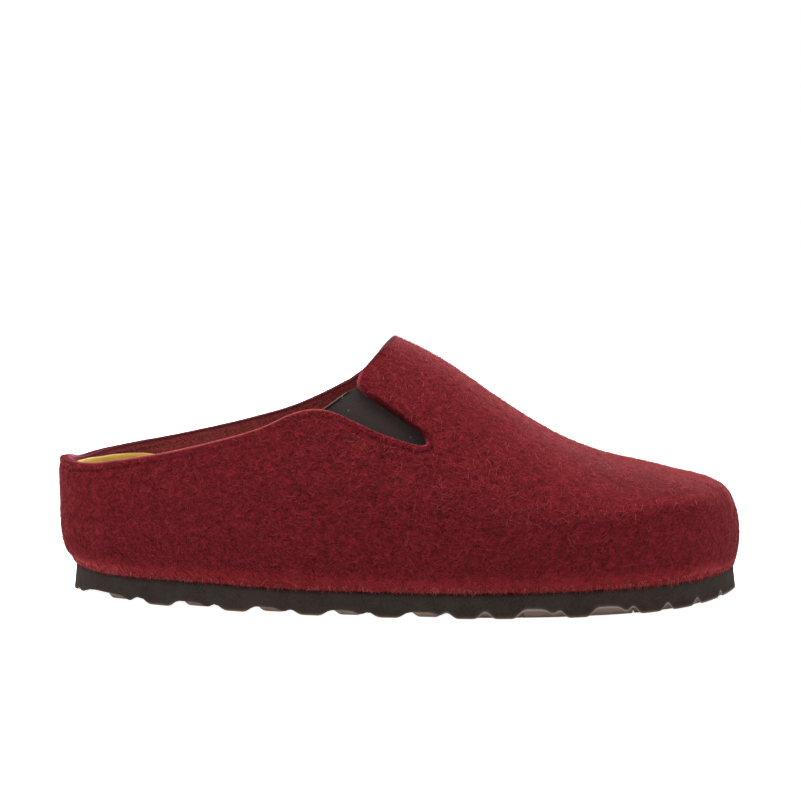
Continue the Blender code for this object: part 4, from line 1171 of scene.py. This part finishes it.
def soleGrid():
    # cross sections from heel to toe: wavy bars below, a flared side, a flat top
    topOuter, topInner = sidesOf(feather)
    lowOuter, lowInner = sidesOf(feather + featherNormal * sole["flare"])
    heel, toe = feather[:, 0].min(), feather[:, 0].max()
    even = np.linspace(0, 1, sole["stations"])
    bunched = even + 0.9 * (0.5 - 0.5 * np.cos(np.pi * even) - even)
    x = heel + 0.02 + (toe - heel - 0.04) * bunched
    inner, edge, inset = treadCurves(x)
    low, high = lowOuter(x), lowInner(x)
    width = high - low
    step = np.where(inset > 0.05, inset, sole["meanInset"])
    outerShare = np.minimum(step / width, sole["endMost"][0])[:, None]
    innerShare = np.minimum((step + sole["lugEnd"]) / width, sole["endMost"][1])[:, None]
    ends = np.linspace(0, 1, 4)[None]
    left = np.concatenate([outerShare * ends, outerShare + (innerShare - outerShare) * ends[:, 1:]], axis=1)
    across = innerShare + (1 - 2 * innerShare) * np.linspace(0, 1, 26)[None, 1:-1]
    shares = np.concatenate([left, across, 1 - left[:, ::-1]], axis=1)
    near = np.minimum(shares, 1 - shares)
    toMiddle = smoothStep(near, outerShare, innerShare)
    depth = edge[:, None] + (inner - edge)[:, None] * toMiddle
    inward = near * width[:, None]
    (start, full, until, end), ribFrom, heelUntil, heelShare = sole["rimRib"]
    rib = smoothStep(inward, start, full) * (1 - smoothStep(inward, until, end))
    heelRib = heelShare * (1 - smoothStep(x, *heelUntil))
    depth = depth * (1 - rib * (smoothStep(x, *ribFrom) + heelRib)[:, None])
    fade = np.minimum(1.0, np.minimum((x - heel) / sole["waveFade"][0], (toe - x) / sole["waveFade"][1]))
    swing = (np.interp(x, sole["waveTurn"], sole["wave"]) * fade)[:, None]
    along = x[:, None] + swing * np.sin(2 * np.pi * sole["waves"] * shares) * np.sin(np.pi * shares)
    spring, springFrom = sole["toeSpring"]
    bevel, bevelRun = sole["heelBevel"]
    rise = spring * np.clip((along - springFrom) / (toe - springFrom), 0, 1) ** 2
    rise = rise + bevel * np.clip((heel + bevelRun - along) / bevelRun, 0, 1) ** 2
    corner = sole["round"] * np.clip(1 - inward / sole["round"], 0, 1) ** 2
    below = np.dstack([along, low[:, None] + width[:, None] * shares, rise + depth + corner])
    up = np.linspace(0, 1, sole["wallRows"] + 1)[1:] ** 1.8

    def sideWall(start, topY):
        base = below[:, start]
        lift = base[:, 2:] + (sole["top"] + footRise(x)[:, None] - base[:, 2:]) * up
        y = base[:, 1:2] + (topY(x)[:, None] - base[:, 1:2]) * up ** 0.8
        return np.dstack([np.broadcast_to(x[:, None], y.shape), y, lift])

    rings = np.concatenate([below, sideWall(-1, topInner), sideWall(0, topOuter)[:, ::-1]], axis=1)
    lowest = np.concatenate([below[..., 2], below[:, [-1, 0], 2].repeat(sole["wallRows"], axis=1)], axis=1)
    upReach, inReach = sole["edgeHighlight"]
    # painted highlights along the lowest edges and along the arches' edges
    edgeHighlight = np.exp(-np.abs(rings[..., 2] - lowest) / upReach)
    edgeHighlight[:, :shares.shape[1]] = np.exp(-inward / inReach)
    raised = smoothStep(lowest, *sole["raised"])
    archHighlight = edgeHighlight * raised * readTable(sole["archHighlightAlong"], x)[:, None]
    insetPaleFrom, insetPaleUntil = sole["insetPaleBand"]
    # a paler tone in under the tread's edge, in its recesses, stronger towards the heel
    insetPale = np.zeros(rings.shape[:2])
    insetPale[:, :shares.shape[1]] = smoothStep(inward, *insetPaleFrom) * (1 - smoothStep(inward, *insetPaleUntil))
    insetPale = insetPale * readTable(sole["insetPaleAlong"], x)[:, None]
    return rings, {"lowEdgeHighlight": edgeHighlight * (1 - raised), "archEdgeHighlight": archHighlight, "insetPale": insetPale}


def soleMaterial():
    # matte dark foam rubber: faint clouds, fine pits, a paler tone in the recesses, painted highlights on the
    # lowest edges and the arches' edges
    material, tree, shader, vector = newMaterial("foamRubber", 0.85, 0.12)
    patch, fleck, pepper = placeGroup(tree, mottle, {"Vector": vector, "Scale": 160.0}).outputs
    marks = [(attributeValue(tree, mask), share, tint) for mask, share, tint in sole["marks"]]
    color = layColors(tree, blendColor(tree, patch, *sole["rubber"]), [(pepper, *sole["pepper"]), *marks])
    tree.links.new(color, shader.inputs["Base Color"])
    addBump(tree, shader, calc(tree, "MULTIPLY_ADD", pepper, 0.7, times(tree, fleck, 0.3)), 0.35, 0.12)
    return material


soleRings, soleValues = soleGrid()
ringCount, columnCount = soleRings.shape[:2]
fan = np.arange(1, columnCount - 1)
fan = np.stack([np.zeros_like(fan), fan, fan + 1], axis=-1)
soleTris = np.concatenate([fan[:, ::-1], fan + (ringCount - 1) * columnCount])
makePiece(
    "foamSole", soleRings, ringFaces(ringCount, columnCount), soleTris, [soleMaterial()],
    soleValues, "sole")


# Studio

studio = {
    "camera": (131.5, -750.0, 140.0),
    "pitch": 5.14,
    "focalPixels": 1972.5,
    "imagePixels": 801,
    "sensor": 36.0,
    "sky": (0.0, 0.10),             # strength at the horizon and overhead
    "floorColor": 0.70,
    "floorGlow": (0.11, 0.97),      # what the shoe gets and what the camera sees of it
    "floorReach": 6000.0,
    "floorBelow": 0.2,
    "target": (130.0, 0.0, 40.0),
    # name, place, size, watts
    "lights": (
        ("topSoftbox", (140.0, 0.0, 1400.0), 1300.0, 19.2),
        ("heelSoftbox", (-900.0, -200.0, 1000.0), 900.0, 12.3),
        ("toeSoftbox", (1150.0, -200.0, 1000.0), 900.0, 6.9),
        ("backSoftbox", (140.0, 900.0, 700.0), 900.0, 16.0),
    ),
}


def aimAt(obj, target):
    way = np.array(target) - np.array(obj.location)
    flat = np.hypot(way[0], way[1])
    obj.rotation_euler = (np.pi / 2 + np.arctan2(way[2], flat), 0.0, np.arctan2(way[1], way[0]) - np.pi / 2)


def makeStudio():
    scene = bpy.context.scene
    scene.view_settings.view_transform = "Standard"

    def stand(name, data, place=None):
        # a new object in the scene, at a place in the shoe's own sizes
        thing = bpy.data.objects.new(name, data)
        if place is not None:
            thing.location = (np.array(place) + shift) * mm
        scene.collection.objects.link(thing)
        return thing

    world = bpy.data.worlds.new("studio")
    scene.world = world
    world.use_nodes = True
    tree = world.node_tree
    background = tree.nodes["Background"]
    background.inputs["Color"].default_value = (1, 1, 1, 1)
    way = put(tree, "ShaderNodeTexCoord").outputs["Generated"]
    upward = put(tree, "ShaderNodeSeparateXYZ", {0: way}).outputs[2]
    sky = remap(tree, upward, 0.0, 1.0, *studio["sky"])
    seen = put(tree, "ShaderNodeLightPath").outputs["Is Camera Ray"]
    tree.links.new(calc(tree, "MAXIMUM", sky, seen), background.inputs["Strength"])
    for name, place, size, watts in studio["lights"]:
        lamp = bpy.data.lights.new(name, "AREA")
        lamp.shape = "DISK"
        lamp.size = size * mm
        lamp.energy = watts
        aimAt(stand(name, lamp, place), (np.array(studio["target"]) + shift) * mm)
    material, tree, shader = newMaterial("paleFloor", 0.9, 0.1)[:3]
    shader.inputs["Base Color"].default_value = (studio["floorColor"],) * 3 + (1,)
    seen = put(tree, "ShaderNodeLightPath").outputs["Is Camera Ray"]
    glow = blendColor(tree, seen, *((strength,) * 3 for strength in studio["floorGlow"]))
    tree.links.new(glow, shader.inputs["Emission Color"])
    shader.inputs["Emission Strength"].default_value = 1.0
    floorMesh = bpy.data.meshes.new("floor")
    reach = studio["floorReach"] * mm
    corners = [(-reach, -reach, 0), (reach, -reach, 0), (reach, reach, 0), (-reach, reach, 0)]
    floorMesh.from_pydata(corners, [], [(0, 1, 2, 3)])
    floorMesh.materials.append(material)
    floor = stand("floor", floorMesh)
    floor.location = (0, 0, -studio["floorBelow"] * mm)
    lens = bpy.data.cameras.new("camera")
    lens.sensor_width = studio["sensor"]
    lens.lens = studio["focalPixels"] / studio["imagePixels"] * studio["sensor"]
    scene.camera = stand("camera", lens, studio["camera"])
    scene.camera.rotation_euler = (np.radians(90 - studio["pitch"]), 0, 0)


makeStudio()
print("studio ready")
